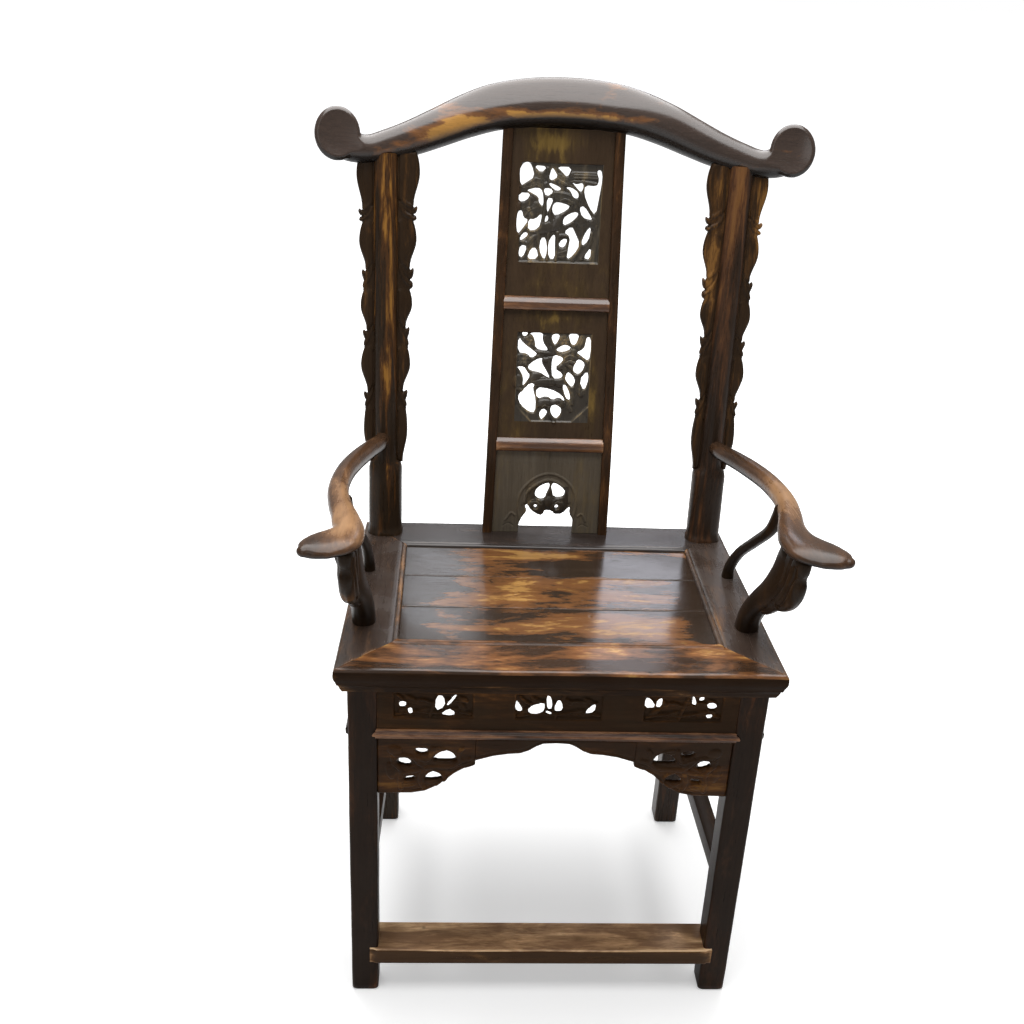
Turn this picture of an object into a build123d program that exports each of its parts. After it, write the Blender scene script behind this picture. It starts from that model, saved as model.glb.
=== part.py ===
from build123d import *
import math
import os

os.makedirs("parts", exist_ok=True)

# ---------------------------------------------------------------- driving sizes (mm)
SEAT_TOP = 546.0          # height of the seat frame above the floor
SEAT_FRONT = 560.0        # width of the seat at its front edge
SEAT_BACK = 536.0         # width of the seat at its back edge
SEAT_DEPTH = 404.0        # seat front edge to seat back edge
FRAME_T = 38.0            # thickness of the seat frame
PANEL_HALF = 204.0        # half width of the opening for the seat boards
PANEL_FRONT = -130.0      # front and back edges of that opening
PANEL_BACK = 125.0
BEAD_W = 6.0              # raised bead round the opening
BEAD_H = 1.4
BOARD_DROP = 1.5          # seat boards lie this far under the frame's top
BOARD_T = 15.5
TONGUE = 7.0              # tongue of the seat boards in the frame's groove
TONGUE_T = 6.0

LEG = 37.0                # square section of the front legs
LEG_R = 3.5
FRONT_LEG_X = 247.0       # centre of a front leg
FRONT_LEG_Y = -166.5      # its centre under the seat
FRONT_SPLAY = 7.0         # forward splay at the floor
REAR_LEG = 38.0
REAR_LEG_X = 236.5
POST_Y = 172.0            # centre of a rear post at the seat's top
REAR_SPLAY = 15.0         # backward splay of the rear leg at the floor
POST_LEAN = 0.0743        # backward lean of the posts, mm per mm of height
POST_TOP = 1093.0         # the posts reach up to here inside the crest rail's hollow
POST_LOW_W = 48.0         # broad lower part of a post, up to the shoulder
POST_LOW_D = 36.0
POST_W = 33.0             # slender upper part that carries the carved wings
POST_D = 33.0
SHOULDER = 655.0          # height of the shoulder between the two
WING_T = 11.0             # thickness of a carved wing board
WING_TONGUE = (SHOULDER + 16.0, 1050.0)   # heights of the tongue that lets a wing into its post

CREST_MID_Y = 254.3       # how far back the crest rail bows at its middle
CREST_MID_Z = 1153.0
SPLAT_LOW = 187.0         # splat width at the seat
SPLAT_HIGH = 166.0        # splat width under the crest
STILE_W = 14.0
STILE_T = 18.0
PANEL_T = 10.0
SPLAT_TOP = 1118.0
SPLAT_ROOM = (100.0, 330.0)     # front and back of the space that cuts through the splat run
SPLAT_REACH = 120.0       # half width of the sheets that the splat's pieces are cut from
STILE_HEAD = (1100.0, 1134.0)   # heights of the tenon at a stile's head
UPPER_BAR = (880.0, 898.0)
LOWER_BAR = (678.0, 697.0)
BAR_OUT = 10.5            # the bars stand this far in front of the splat's middle line
BAR_SLOPE = 6.0           # and their upper front edge slopes off by this much

WAIST_LOW = 446.0         # lower edge of the waist boards
RAIL_LOW = 431.0          # lower edge of the moulded rails under them
APRON_LOW = 343.0
BOARD_THICK = 15.0        # waist boards and the plain aprons
FRET_T = 7.0              # thickness left where the waist is carved and pierced
FRONT_APRON_T = 10.5      # the carved front apron is thinner
FOOTREST_TOP = 80.5
FOOTREST_T = 27.0
FOOTREST_FRONT = -195.5
FOOTREST_BACK = -142.0
SIDE_BAR = (181.0, 207.0)
BACK_BAR = (288.0, 312.0)      # the back stretcher is the highest of the four
BAR_W = 23.0

FIT = 0.15                # clearance round every tenon and tongue, and at shoulders
TENON = 12.0

UNDER = SEAT_TOP - FRAME_T
HALF_D = SEAT_DEPTH / 2


# ---------------------------------------------------------------- helpers
def block(x0, x1, y0, y1, z0, z1):
    return Pos((x0 + x1) / 2, (y0 + y1) / 2, (z0 + z1) / 2) * Box(abs(x1 - x0), abs(y1 - y0), abs(z1 - z0))


def prism_z(points, z0, z1):
    face = make_face(Polyline(*[(x, y, z0) for x, y in points], close=True))
    return extrude(face, z1 - z0, dir=(0, 0, 1))


def prism_y(face_or_points, y0, y1):
    if isinstance(face_or_points, list):
        face_or_points = make_face(Polyline(*[(x, y0, z) for x, z in face_or_points], close=True))
    return extrude(face_or_points, y1 - y0, dir=(0, 1, 0))


def prism_x(points, x0, x1):
    face = make_face(Polyline(*[(x0, y, z) for y, z in points], close=True))
    return extrude(face, x1 - x0, dir=(1, 0, 0))


def grown(box_args, by=FIT):
    x0, x1, y0, y1, z0, z1 = box_args
    return block(x0 - by, x1 + by, y0 - by, y1 + by, z0 - by, z1 + by)


def biggest(shape):
    return max(shape.solids(), key=lambda s: s.volume)


def lowest(shape):
    parts = [s for s in shape.solids() if s.volume > 50]
    return min(parts, key=lambda s: s.bounding_box().min.Z)


def other_side(shape):
    return mirror(shape, about=Plane.YZ)


def moved(shape, x=0.0, y=0.0, z=0.0):
    return Pos(x, y, z) * shape


def turned(path, side):
    """Loft of ellipses along a path of (x, y, z, half width, half height)."""
    faces = []
    count = len(path)
    for i, (x, y, z, wide, high) in enumerate(path):
        a = path[max(i - 1, 0)]
        b = path[min(i + 1, count - 1)]
        way = Vector(b[0] - a[0], b[1] - a[1], b[2] - a[2]).normalized()
        across = way.cross(Vector(*side)).normalized()
        plane = Plane(origin=(x, y, z), x_dir=across, z_dir=way)
        faces.append(plane * Ellipse(wide, high))
    return loft(faces)


def post_y(z):
    return POST_Y + (z - SEAT_TOP) * POST_LEAN


def front_y(z):
    return FRONT_LEG_Y - FRONT_SPLAY * (1 - z / UNDER)


def rear_y(z):
    return POST_Y + REAR_SPLAY * (1 - z / SEAT_TOP)


def square_run(x, ya, za, yb, zb, w, d, r):
    low = Pos(x, ya, za) * RectangleRounded(w, d, r)
    high = Pos(x, yb, zb) * RectangleRounded(w, d, r)
    return loft([low, high])


def rod(a, b, radius):
    way = Vector(*b) - Vector(*a)
    return Plane(origin=a, z_dir=way.normalized()) * extrude(Circle(radius), way.length)


NODES = {}


def keep(name, shape):
    solid = shape if isinstance(shape, Solid) else biggest(shape)
    NODES[name] = solid


# ---------------------------------------------------------------- crest rail
CREST_PATH = [
    (0.0, CREST_MID_Y, CREST_MID_Z, 25, 32),
    (48.0, CREST_MID_Y - 1, CREST_MID_Z - 2, 25, 31.5),
    (92.0, CREST_MID_Y - 6, CREST_MID_Z - 8, 24.5, 30),
    (132.0, CREST_MID_Y - 13, CREST_MID_Z - 20, 23.5, 28),
    (170.0, CREST_MID_Y - 22, CREST_MID_Z - 35, 22, 25.5),
    (204.0, CREST_MID_Y - 31, CREST_MID_Z - 48, 20.5, 23),
    (236.0, CREST_MID_Y - 38, CREST_MID_Z - 57, 19, 20),
    (262.0, CREST_MID_Y - 45, CREST_MID_Z - 61, 18, 16.5),
    (284.0, CREST_MID_Y - 51, CREST_MID_Z - 55, 15, 17),
    (300.0, CREST_MID_Y - 56, CREST_MID_Z - 41, 12, 20),
]
EAR = (301.0, CREST_MID_Y - 57, CREST_MID_Z - 42, 29.5, 12.0, 35.0)


def make_crest():
    left = [(-x, y, z, w, h) for x, y, z, w, h in reversed(CREST_PATH[1:])]
    bar = turned(left + CREST_PATH, (0, 0, 1))
    ear = scale(Sphere(1), by=(EAR[3], EAR[4], EAR[5]))
    ear = Pos(EAR[0], EAR[1], EAR[2]) * Rot(-14, 0, -8) * ear
    half = biggest((bar + ear) & block(0, 400, 0, 400, 900, 1300))
    return biggest(half + other_side(half))


crest_raw = make_crest()
crest_cut = moved(crest_raw, z=-FIT)

# ---------------------------------------------------------------- rear legs with their posts
TENON_R = 8.0


def make_rear_post():
    leg = square_run(REAR_LEG_X, rear_y(0), 0, rear_y(SEAT_TOP), SEAT_TOP + 0.2, REAR_LEG, REAR_LEG, LEG_R)
    low = square_run(REAR_LEG_X + 1.5, post_y(SEAT_TOP + 0.2), SEAT_TOP + 0.2, post_y(SHOULDER), SHOULDER,
                     POST_LOW_W, POST_LOW_D, 16)
    high = square_run(REAR_LEG_X + 1.5, post_y(SHOULDER), SHOULDER, post_y(POST_TOP), POST_TOP,
                      POST_W, POST_D, 13)
    high = lowest(high - crest_cut)
    body = leg + low + high
    x = REAR_LEG_X + 1.5
    tenon = rod((x, post_y(1040), 1040), (x, post_y(1096), 1096), TENON_R)
    return body + tenon


post_plain = make_rear_post()
POST_X = REAR_LEG_X + 1.5
post_tenon_hole = rod((POST_X, post_y(1020), 1020), (POST_X, post_y(1096.6), 1096.6), TENON_R + FIT)

# ---------------------------------------------------------------- carved wings on the posts
LEAN_PLANE = Plane(origin=(POST_X, POST_Y, SEAT_TOP), x_dir=(1, 0, 0),
                   z_dir=(0, -math.cos(math.atan(POST_LEAN)), math.sin(math.atan(POST_LEAN))))
OUTER_LOBES = [
    (SHOULDER + 0.6, 735, 24.5, 31.5, 29), (761, 823, 26, 35, 30), (850, 903, 27, 35, 31),
    (934, 995, 28, 36.5, 32), (1014, 1090, 32, 39.5, 34),
]
INNER_LOBES = [
    (SHOULDER + 0.6, 735, 25, 31.5, 29), (765, 823, 25, 34.5, 31), (856, 905, 28, 36.5, 33),
    (938, 998, 33, 41.5, 37), (1020, 1095, 37, 45, 40),
]


def wing_face(lobes, side, root):
    """Lobed outline with a pair of leaf horns between one lobe and the next."""
    stretch = 1 / math.cos(math.atan(POST_LEAN))
    at = lambda off, z: (side * off, (z - SEAT_TOP) * stretch)
    edges = [Line(at(root, lobes[0][0]), at(lobes[0][2], lobes[0][0]))]
    for i, (z0, z1, e0, bulge, e1) in enumerate(lobes):
        edges.append(ThreePointArc(at(e0, z0), at(bulge, (z0 + z1) / 2), at(e1, z1)))
        if i + 1 < len(lobes):
            zn, en = lobes[i + 1][0], lobes[i + 1][2]
            gap = zn - z1
            horn = [at(e1, z1), at(e1 + 4.5, z1 + 0.22 * gap), at(e1 - 0.5, z1 + 0.47 * gap),
                    at(en + 7.5, z1 + 0.78 * gap), at(en, zn)]
            edges += [Line(horn[k], horn[k + 1]) for k in range(4)]
    edges.append(Line(at(lobes[-1][4], lobes[-1][1]), at(root, lobes[-1][1])))
    edges.append(Line(at(root, lobes[-1][1]), at(root, lobes[0][0])))
    return make_face(Wire(edges))


def make_wing(lobes, side):
    face = LEAN_PLANE * wing_face(lobes, side, POST_W / 2 + FIT)
    board = extrude(face, WING_T / 2, both=True)
    return lowest((board + wing_tongue(side)) - crest_cut)


def wing_tongue(side, room=0.0):
    low, high = WING_TONGUE
    middle = Pos(side * (POST_W / 2 - 0.5), (low + high) / 2 - SEAT_TOP)
    face = LEAN_PLANE * middle * Rectangle(7 + 2 * room, high - low + 2 * room)
    return extrude(face, 2.5 + room, both=True)


wing_outer = make_wing(OUTER_LOBES, 1)
wing_inner = make_wing(INNER_LOBES, -1)
rear_post = post_plain - wing_tongue(1, FIT) - wing_tongue(-1, FIT)

# ---------------------------------------------------------------- arms
ARM_RISE = 0.112          # the arms rise this much per mm towards the front


def arm_z(y):
    return 694.0 + (160.0 - y) * ARM_RISE


ARM_PLAN = [
    (POST_X + 3, 176.0, 11, 11), (246, 150, 11.5, 11.5), (259, 112, 12.5, 12), (271, 68, 13, 12.5),
    (280, 20, 13, 12.5), (283.5, -30, 13, 12.5), (282, -75, 13.5, 12.5), (275, -120, 14.5, 12),
    (265, -165, 17, 11.5), (262, -203, 23, 11), (270, -234, 30, 10), (286, -255, 26, 9), (301, -268, 15, 7),
]
FRONT_POST_PATH = [
    (251, -84, SEAT_TOP - 0.0, 15, 15), (251.5, -96, 572, 14.5, 14.5), (253, -122, 606, 14, 14),
    (255, -155, 640, 13.5, 13.5), (257, -180, 674, 13, 13), (259, -194, 708, 13, 13), (260, -198, 738, 13, 13),
]
SIDE_POST_PATH = [
    (253, 52, SEAT_TOP, 7.5, 7.5), (254, 46, 566, 7, 7), (256, 14, 604, 7, 7), (260, -38, 648, 7, 7),
    (266, -74, 682, 7, 7), (271, -86, 708, 7.5, 7.5), (273, -88, 722, 7.5, 7.5),
]


def make_arm():
    path = [(x, y, arm_z(y), w, h) for x, y, w, h in ARM_PLAN]
    body = turned(path, (0, 0, 1))
    body = biggest(body - moved(post_plain, y=-FIT) - moved(wing_outer, y=-FIT) - moved(wing_inner, y=-FIT))
    return body


arm_plain = make_arm()
arm_room = turned([(x, y, arm_z(y), w + FIT, h + FIT) for x, y, w, h in ARM_PLAN], (0, 0, 1))
arm_seat = (POST_X + 4, 160.0, arm_z(160.0))
arm_tenon = rod(arm_seat, (POST_X - 1, 182.0, arm_z(182)), 6.0)
arm_tenon_hole = rod((POST_X + 4.5, 158.0, arm_z(158.0)), (POST_X - 1.14, 182.6, arm_z(182.6)), 6.0 + FIT)
rear_post = biggest(rear_post - arm_tenon_hole)


def make_support(path, radius, into_arm):
    body = turned(path, (1, 0, 0))
    above = block(150, 350, -400, 300, SEAT_TOP + FIT, 900)
    body = biggest(body & above)
    body = lowest(body - arm_room)
    foot = (path[0][0], path[0][1])
    low = rod((foot[0], foot[1], SEAT_TOP - 16), (foot[0], foot[1], SEAT_TOP + 6), radius)
    head = path[-2]
    top = rod((head[0], head[1], head[2] - 14), (head[0], head[1], into_arm), radius)
    body = body + low + top
    hole_low = rod((foot[0], foot[1], SEAT_TOP - 16.5), (foot[0], foot[1], SEAT_TOP + 6), radius + FIT)
    hole_top = rod((head[0], head[1], head[2] - 14), (head[0], head[1], into_arm + 0.5), radius + FIT)
    return biggest(body), hole_low, hole_top


front_post, front_post_low, front_post_top = make_support(FRONT_POST_PATH, 7.0, 735.0)
side_post, side_post_low, side_post_top = make_support(SIDE_POST_PATH, 4.5, 722.0)
arm = biggest(arm_plain + arm_tenon - front_post_top - side_post_top)

WING_OUTLINE = [
    (-100, 585), (-118, 588), (-140, 596), (-160, 611), (-182, 628), (-206, 640), (-230, 656), (-248, 676),
    (-256, 696), (-251, 708), (-259, 720), (-257, 740), (-190, 745), (-172, 690), (-140, 640), (-104, 606),
]


def make_arm_wing():
    face = make_face(Polyline(*[(258.0 - 7.0, y, z) for y, z in WING_OUTLINE], close=True))
    board = extrude(face, 14.0, dir=(1, 0, 0))
    board = board - arm_room
    grown_path = [(x, y, z, w + FIT, h + FIT) for x, y, z, w, h in FRONT_POST_PATH]
    board = board - turned(grown_path, (1, 0, 0))
    parts = [s for s in board.solids() if s.bounding_box().min.Y < -240]
    return max(parts, key=lambda s: s.volume)


arm_wing = make_arm_wing()

# ---------------------------------------------------------------- splat
SPLAT_LINE = [(540, 180.5), (600, 180), (660, 182), (730, 189), (800, 200), (870, 213), (940, 226), (1010, 238),
              (1070, 246), (1125, 250)]


def slab(front, back):
    """The gently S-shaped sheet, as seen from the side, between two offsets from its middle line."""
    a = [(y + front, z) for z, y in SPLAT_LINE]
    b = [(y + back, z) for z, y in SPLAT_LINE]
    face_edges = [Spline(*[(0, y, z) for y, z in a]), Line((0, *a[-1]), (0, *b[-1])),
                  Spline(*[(0, y, z) for y, z in reversed(b)]), Line((0, *b[0]), (0, *a[0]))]
    face = make_face(Wire(face_edges))
    return extrude(face, SPLAT_REACH, dir=(1, 0, 0)) + extrude(face, SPLAT_REACH, dir=(-1, 0, 0))


def splat_half(z):
    share = (z - SEAT_TOP) / (SPLAT_TOP - SEAT_TOP)
    return (SPLAT_LOW + (SPLAT_HIGH - SPLAT_LOW) * share) / 2


def cut_y(points):
    return prism_y([(x, z) for x, z in points], *SPLAT_ROOM)


stile_slab = slab(-STILE_T / 2, STILE_T / 2)
panel_slab = slab(-PANEL_T / 2, PANEL_T / 2)
tongue_slab = slab(-2, 2)
groove_slab = slab(-2 - FIT, 2 + FIT)
bar_slab = slab(-BAR_OUT, 8.5)
HIGH = 1124.0


def edge_x(z, inset):
    return splat_half(z) - inset


def strip(z0, z1, inset):
    low, high = edge_x(z0, inset), edge_x(z1, inset)
    return [(-low, z0), (low, z0), (high, z1), (-high, z1)]


def make_stile():
    z0 = SEAT_TOP + FIT
    outline = [(edge_x(z0, STILE_W), z0), (edge_x(z0, 0), z0), (edge_x(HIGH, 0), HIGH),
               (edge_x(HIGH, STILE_W), HIGH)]
    body = lowest((cut_y(outline) & stile_slab) - crest_cut)
    x0 = splat_half(SEAT_TOP) - STILE_W / 2
    x1 = splat_half(SPLAT_TOP) - STILE_W / 2
    low = (x0 - 5, x0 + 5, 176, 185, SEAT_TOP - 14, SEAT_TOP + 4)
    top = (x1 - 5, x1 + 5, 246, 253, *STILE_HEAD)
    body = body + block(*low) + block(*top)
    for lowz, highz in ((SEAT_TOP + 20, LOWER_BAR[0] - 4), (LOWER_BAR[1] + 4, UPPER_BAR[0] - 4),
                        (UPPER_BAR[1] + 4, STILE_HEAD[0])):
        groove = [(edge_x(lowz, STILE_W) - 1, lowz), (edge_x(lowz, STILE_W) + 4.3, lowz),
                  (edge_x(highz, STILE_W) + 4.3, highz), (edge_x(highz, STILE_W) - 1, highz)]
        body = body - (cut_y(groove) & groove_slab)
    for z0, z1 in (LOWER_BAR, UPPER_BAR):
        x = edge_x((z0 + z1) / 2, STILE_W)
        y = spline_y((z0 + z1) / 2)
        body = body - block(x - 1, x + 8.3, y - 3 - FIT, y + 3 + FIT, z0 + 4 - FIT, z1 - 4 + FIT)
    return biggest(body), grown(low, FIT), grown(top, FIT)


def spline_y(z):
    for (za, ya), (zb, yb) in zip(SPLAT_LINE, SPLAT_LINE[1:]):
        if za <= z <= zb:
            return ya + (yb - ya) * (z - za) / (zb - za)
    return SPLAT_LINE[-1][1]


def make_bar(z0, z1):
    outline = [(-edge_x(z0, STILE_W + FIT), z0 + FIT), (edge_x(z0, STILE_W + FIT), z0 + FIT),
               (edge_x(z1, STILE_W + FIT), z1 - FIT), (-edge_x(z1, STILE_W + FIT), z1 - FIT)]
    body = cut_y(outline) & bar_slab
    x = edge_x((z0 + z1) / 2, STILE_W)
    y = spline_y((z0 + z1) / 2)
    front = spline_y(z1) - BAR_OUT
    slope = [(front - 2, z1 - BAR_SLOPE - 2), (front - 2, z1 + 2), (front + BAR_SLOPE + 2, z1 + 2)]
    body = body - prism_x(slope, -SPLAT_REACH, SPLAT_REACH)
    return body + block(-x - 8, x + 8, y - 3, y + 3, z0 + 4, z1 - 4)


def panel_blank(z0, z1, t0, t1):
    board = cut_y(strip(z0, z1, STILE_W + FIT)) & panel_slab
    tongue = [(-edge_x(t0, STILE_W) - 4, t0), (edge_x(t0, STILE_W) + 4, t0),
              (edge_x(t1, STILE_W) + 4, t1), (-edge_x(t1, STILE_W) - 4, t1)]
    return board + (cut_y(tongue) & tongue_slab)


def oval(x, z, a, b, turn=0.0):
    return Pos(x, z) * Rot(0, 0, turn) * Ellipse(a, b)


def joined(shapes):
    total = shapes[0]
    for s in shapes[1:]:
        total = total + s
    return total


def standing(sketch, sheet):
    """Stands a flat x-z drawing up as a sheet that follows the splat's middle line."""
    return extrude(Plane.XZ * sketch, SPLAT_ROOM[1], dir=(0, 1, 0)) & sheet


# each panel's carving is drawn as the openings left between its leaves and branches, in x and height over
# the bar or seat that carries the panel
TOP_OPENINGS = [
    [(-48, 177), (-43, 172), (-39, 159), (-48, 153), (-56, 147), (-57, 167), (-54, 173)],
    [(-38, 173), (-22, 172), (-29, 165)], [(-6, 172), (12, 172), (7, 160), (1, 167)],
    [(-14, 170), (-11, 166), (-7, 160), (-13, 156), (-17, 158)],
    [(47, 167), (53, 169), (55, 158), (52, 137), (49, 111), (40, 122), (33, 139), (34, 149),
     (47, 147), (51, 155)], [(15, 153), (22, 149), (27, 152), (29, 148), (27, 141), (22, 147)],
    [(-17, 151), (-8, 147), (-1, 144), (-7, 142), (-13, 146)],
    [(7, 145), (14, 145), (22, 140), (23, 133), (17, 134), (14, 141)],
    [(-24, 143), (-16, 143), (-12, 139), (-20, 134)],
    [(-47, 140), (-32, 143), (-27, 139), (-25, 127), (-26, 121), (-31, 127), (-32, 133), (-40, 137)],
    [(-57, 136), (-43, 136), (-48, 128), (-57, 126)], [(-19, 130), (-11, 129), (-15, 120), (-18, 112)],
    [(-4, 125), (11, 122), (9, 117), (-6, 109), (-10, 115), (-9, 122)],
    [(27, 119), (33, 121), (43, 107), (42, 105), (32, 108)],
    [(22, 113), (24, 109), (16, 102), (6, 96), (6, 105), (14, 110)],
    [(-58, 112), (-53, 112), (-52, 103), (-45, 101), (-52, 91), (-58, 83), (-59, 99)],
    [(-42, 102), (-34, 101), (-27, 109), (-27, 103), (-30, 91), (-43, 88)],
    [(-19, 108), (-17, 103), (-21, 99)],
    [(17, 93), (21, 85), (28, 71), (21, 58), (12, 51), (14, 66), (16, 79), (7, 85)],
    [(41, 93), (43, 89), (40, 77), (33, 70), (33, 79)], [(-48, 84), (-44, 81), (-53, 74), (-53, 79)],
    [(-25, 76), (-19, 77), (-17, 61), (-20, 49), (-26, 63)],
    [(-9, 81), (-6, 80), (-7, 69), (-5, 52), (-13, 52), (-14, 70)], [(5, 76), (11, 76), (7, 67), (0, 69)],
    [(-53, 66), (-45, 65), (-50, 52), (-55, 55)], [(-38, 62), (-32, 63), (-29, 51), (-43, 50)],
    [(45, 67), (44, 52), (36, 54)],
]
MIDDLE_OPENINGS = [
    [(-46, 149), (-40, 149), (-40, 147), (-43, 145)],
    [(-36, 148), (-17, 149), (-19, 138), (-10, 128), (-12, 126), (-26, 129), (-26, 139), (-30, 145)],
    [(-4, 147), (5, 147), (6, 144), (3, 137), (0, 135)],
    [(21, 148), (34, 148), (31, 139), (28, 135), (25, 137), (24, 141)],
    [(46, 144), (51, 143), (51, 127), (50, 113), (41, 120), (33, 125), (44, 129), (45, 136)],
    [(-50, 143), (-44, 134), (-29, 124), (-25, 120), (-33, 115), (-38, 122), (-50, 122)],
    [(4, 126), (9, 130), (16, 133), (24, 129), (13, 125)],
    [(0, 119), (13, 115), (12, 109), (3, 101), (13, 94), (12, 88), (0, 87), (-1, 104)],
    [(-16, 115), (-18, 107), (-12, 98), (-5, 87), (-11, 90), (-19, 96), (-32, 97), (-35, 102), (-28, 108)],
    [(37, 113), (44, 107), (41, 99), (36, 94), (29, 99), (33, 109)],
    [(-51, 100), (-42, 100), (-39, 94), (-34, 89), (-40, 79), (-43, 76), (-42, 88), (-47, 96)],
    [(49, 97), (50, 85), (46, 70), (40, 84)], [(21, 95), (28, 89), (31, 83), (28, 75), (23, 81), (19, 86)],
    [(-31, 78), (-26, 75), (-29, 69), (-25, 57), (-24, 38), (-31, 38), (-43, 47), (-48, 59), (-40, 68)],
    [(15, 76), (19, 76), (23, 67), (26, 56), (20, 60)],
    [(-22, 72), (-2, 69), (13, 62), (18, 53), (8, 60), (1, 56), (-6, 61), (-20, 56)],
    [(6, 48), (13, 42), (12, 35), (7, 29), (1, 36), (0, 44)],
    [(-12, 41), (-7, 37), (-10, 32), (-14, 27), (-16, 35)],
]
BOTTOM_OPENINGS = [
    [(1, 81), (3, 74), (-2, 64), (-3, 57), (-10, 55), (-17, 61), (-14, 72)],
    [(10, 81), (25, 71), (25, 63), (22, 59), (11, 59), (10, 67), (7, 74)],
]
ARCH = [(-40, -6), (-40, 13), (-35, 25), (-30, 34), (-31, 43), (-23, 37), (-9, 27), (-3, 31), (-2, 37),
        (10, 36), (12, 30), (25, 31), (33, 43), (35, 34), (36, 29), (41, 22), (41, -6)]
EYES = [(-15.0, 43.0, 2.2), (16.0, 42.5, 2.6)]      # round piercings over the arch: x, height, radius
CLOUDS = [(-21.0, 66.0, 18.0), (21.0, 66.0, 18.0), (0.0, 84.0, 21.0)]      # raised lobes round the drops
RELIEF = 1.4              # the clouds stand this far out of the panel
SUNK = 1.0                # the fretwork lies this far under the panel's face


def opening(points, base):
    """Flowing outline that touches the middle of each side of the drawn one, cut right through."""
    corners = [Vector(x, SPLAT_ROOM[0], base + z) for x, z in points]
    middles = [(p + q) / 2 for p, q in zip(corners, corners[1:] + corners[:1])]
    bends = [Bezier(middles[i - 1], corners[i], middles[i]) for i in range(len(corners))]
    return extrude(make_face(Wire(bends)), SPLAT_ROOM[1] - SPLAT_ROOM[0], dir=(0, 1, 0))


def pierced(panel, openings, base):
    return biggest(panel - [opening(points, base) for points in openings])


def sunk_window(panel, outline):
    """Lets the fretwork lie under both faces of the panel."""
    face = PANEL_T / 2
    skin = (panel_slab - slab(-face + SUNK, face - SUNK)) & cut_y(outline)
    return panel - skin


def make_top_panel():
    base = UPPER_BAR[1]
    blank = lowest(panel_blank(base + FIT, HIGH, base + 5, base + 200) - crest_cut)
    x, low, high = 60.0, base + 46, base + 179
    blank = sunk_window(blank, [(-x, low), (x, low), (x, high), (-x, high)])
    step = strip(base + 24, base + 29, STILE_W + 10)
    return pierced(blank + (cut_y(step) & slab(-PANEL_T / 2 - RELIEF, 0)), TOP_OPENINGS, base)


def make_middle_panel():
    base = LOWER_BAR[1]
    blank = panel_blank(base + FIT, UPPER_BAR[0] - FIT, base + 5, UPPER_BAR[0] - 5)
    x, low, high = 53.0, base + 24, base + 151
    corners = [(-x, low + 20), (-x + 20, low), (x - 20, low), (x, low + 20), (x, high), (-x, high)]
    blank = sunk_window(blank, corners)
    return pierced(blank, MIDDLE_OPENINGS, base)


def make_bottom_panel():
    base = SEAT_TOP
    blank = panel_blank(base + FIT, LOWER_BAR[0] - FIT, base + 24, LOWER_BAR[0] - 5)
    lobes = [Pos(x, base + z) * Circle(r) for x, z, r in CLOUDS]
    cloud = joined(lobes + [Pos(0, base + 52) * Rectangle(66, 26)])
    relief = standing(cloud, slab(-PANEL_T / 2 - RELIEF, 0))
    eyes = standing(joined([Pos(x, base + z) * Circle(r) for x, z, r in EYES]), slab(-20, 20))
    arch = cut_y([(x, base + z) for x, z in ARCH])
    return pierced((blank + relief) - arch - eyes, BOTTOM_OPENINGS, base)


stile, stile_hole_low, stile_hole_top = make_stile()

# ---------------------------------------------------------------- seat frame
EDGE = [(0.0, -9.0), (6.0, -6.5), (11.0, -5.0), (12.0, -3.0), (18.0, -1.5), (25.0, 0.8), (32.0, 1.0),
        (37.0, 0.0), (FRAME_T, -0.8)]


def seat_outline(off, z):
    front, back = SEAT_FRONT / 2 + off, SEAT_BACK / 2 + off
    y = HALF_D + off
    return make_face(Polyline((-front, -y, z), (front, -y, z), (back, y, z), (-back, y, z), close=True))


def make_frame():
    frame = loft([seat_outline(off, UNDER + up) for up, off in EDGE], ruled=True)
    bead = block(-PANEL_HALF - BEAD_W, PANEL_HALF + BEAD_W, PANEL_FRONT - BEAD_W, PANEL_BACK + BEAD_W,
                 SEAT_TOP - 2, SEAT_TOP + BEAD_H)
    frame = frame + bead
    frame = frame - block(-PANEL_HALF, PANEL_HALF, PANEL_FRONT, PANEL_BACK, UNDER - 5, SEAT_TOP + 5)
    top = SEAT_TOP - BOARD_DROP - BOARD_T
    frame = frame - block(-PANEL_HALF - TONGUE - 1, PANEL_HALF + TONGUE + 1, PANEL_FRONT - TONGUE - 1,
                          PANEL_BACK + TONGUE + 1, top - FIT, top + TONGUE_T + FIT)
    for side in (-1, 1):
        frame = frame - block(side * FRONT_LEG_X - 9 - FIT, side * FRONT_LEG_X + 9 + FIT, FRONT_LEG_Y - 9 - FIT,
                              FRONT_LEG_Y + 9 + FIT, UNDER - 1, UNDER + 22.5)
        hole = square_run(side * REAR_LEG_X, rear_y(UNDER - 20), UNDER - 20, rear_y(SEAT_TOP + 20),
                          SEAT_TOP + 20, REAR_LEG + 2 * FIT, REAR_LEG + 2 * FIT, LEG_R)
        frame = frame - hole
    for cut in (front_post_low, side_post_low, stile_hole_low):
        frame = frame - cut - other_side(cut)
    return biggest(frame)


BATTEN_X = 96.0
BATTEN_W = 34.0
batten_tenon = (BATTEN_X - 10, BATTEN_X + 10, PANEL_FRONT - 10, PANEL_BACK + 10, UNDER + 6, UNDER + 16)
frame = make_frame()
frame = frame - grown(batten_tenon) - other_side(grown(batten_tenon))
GAP = 0.06


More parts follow.
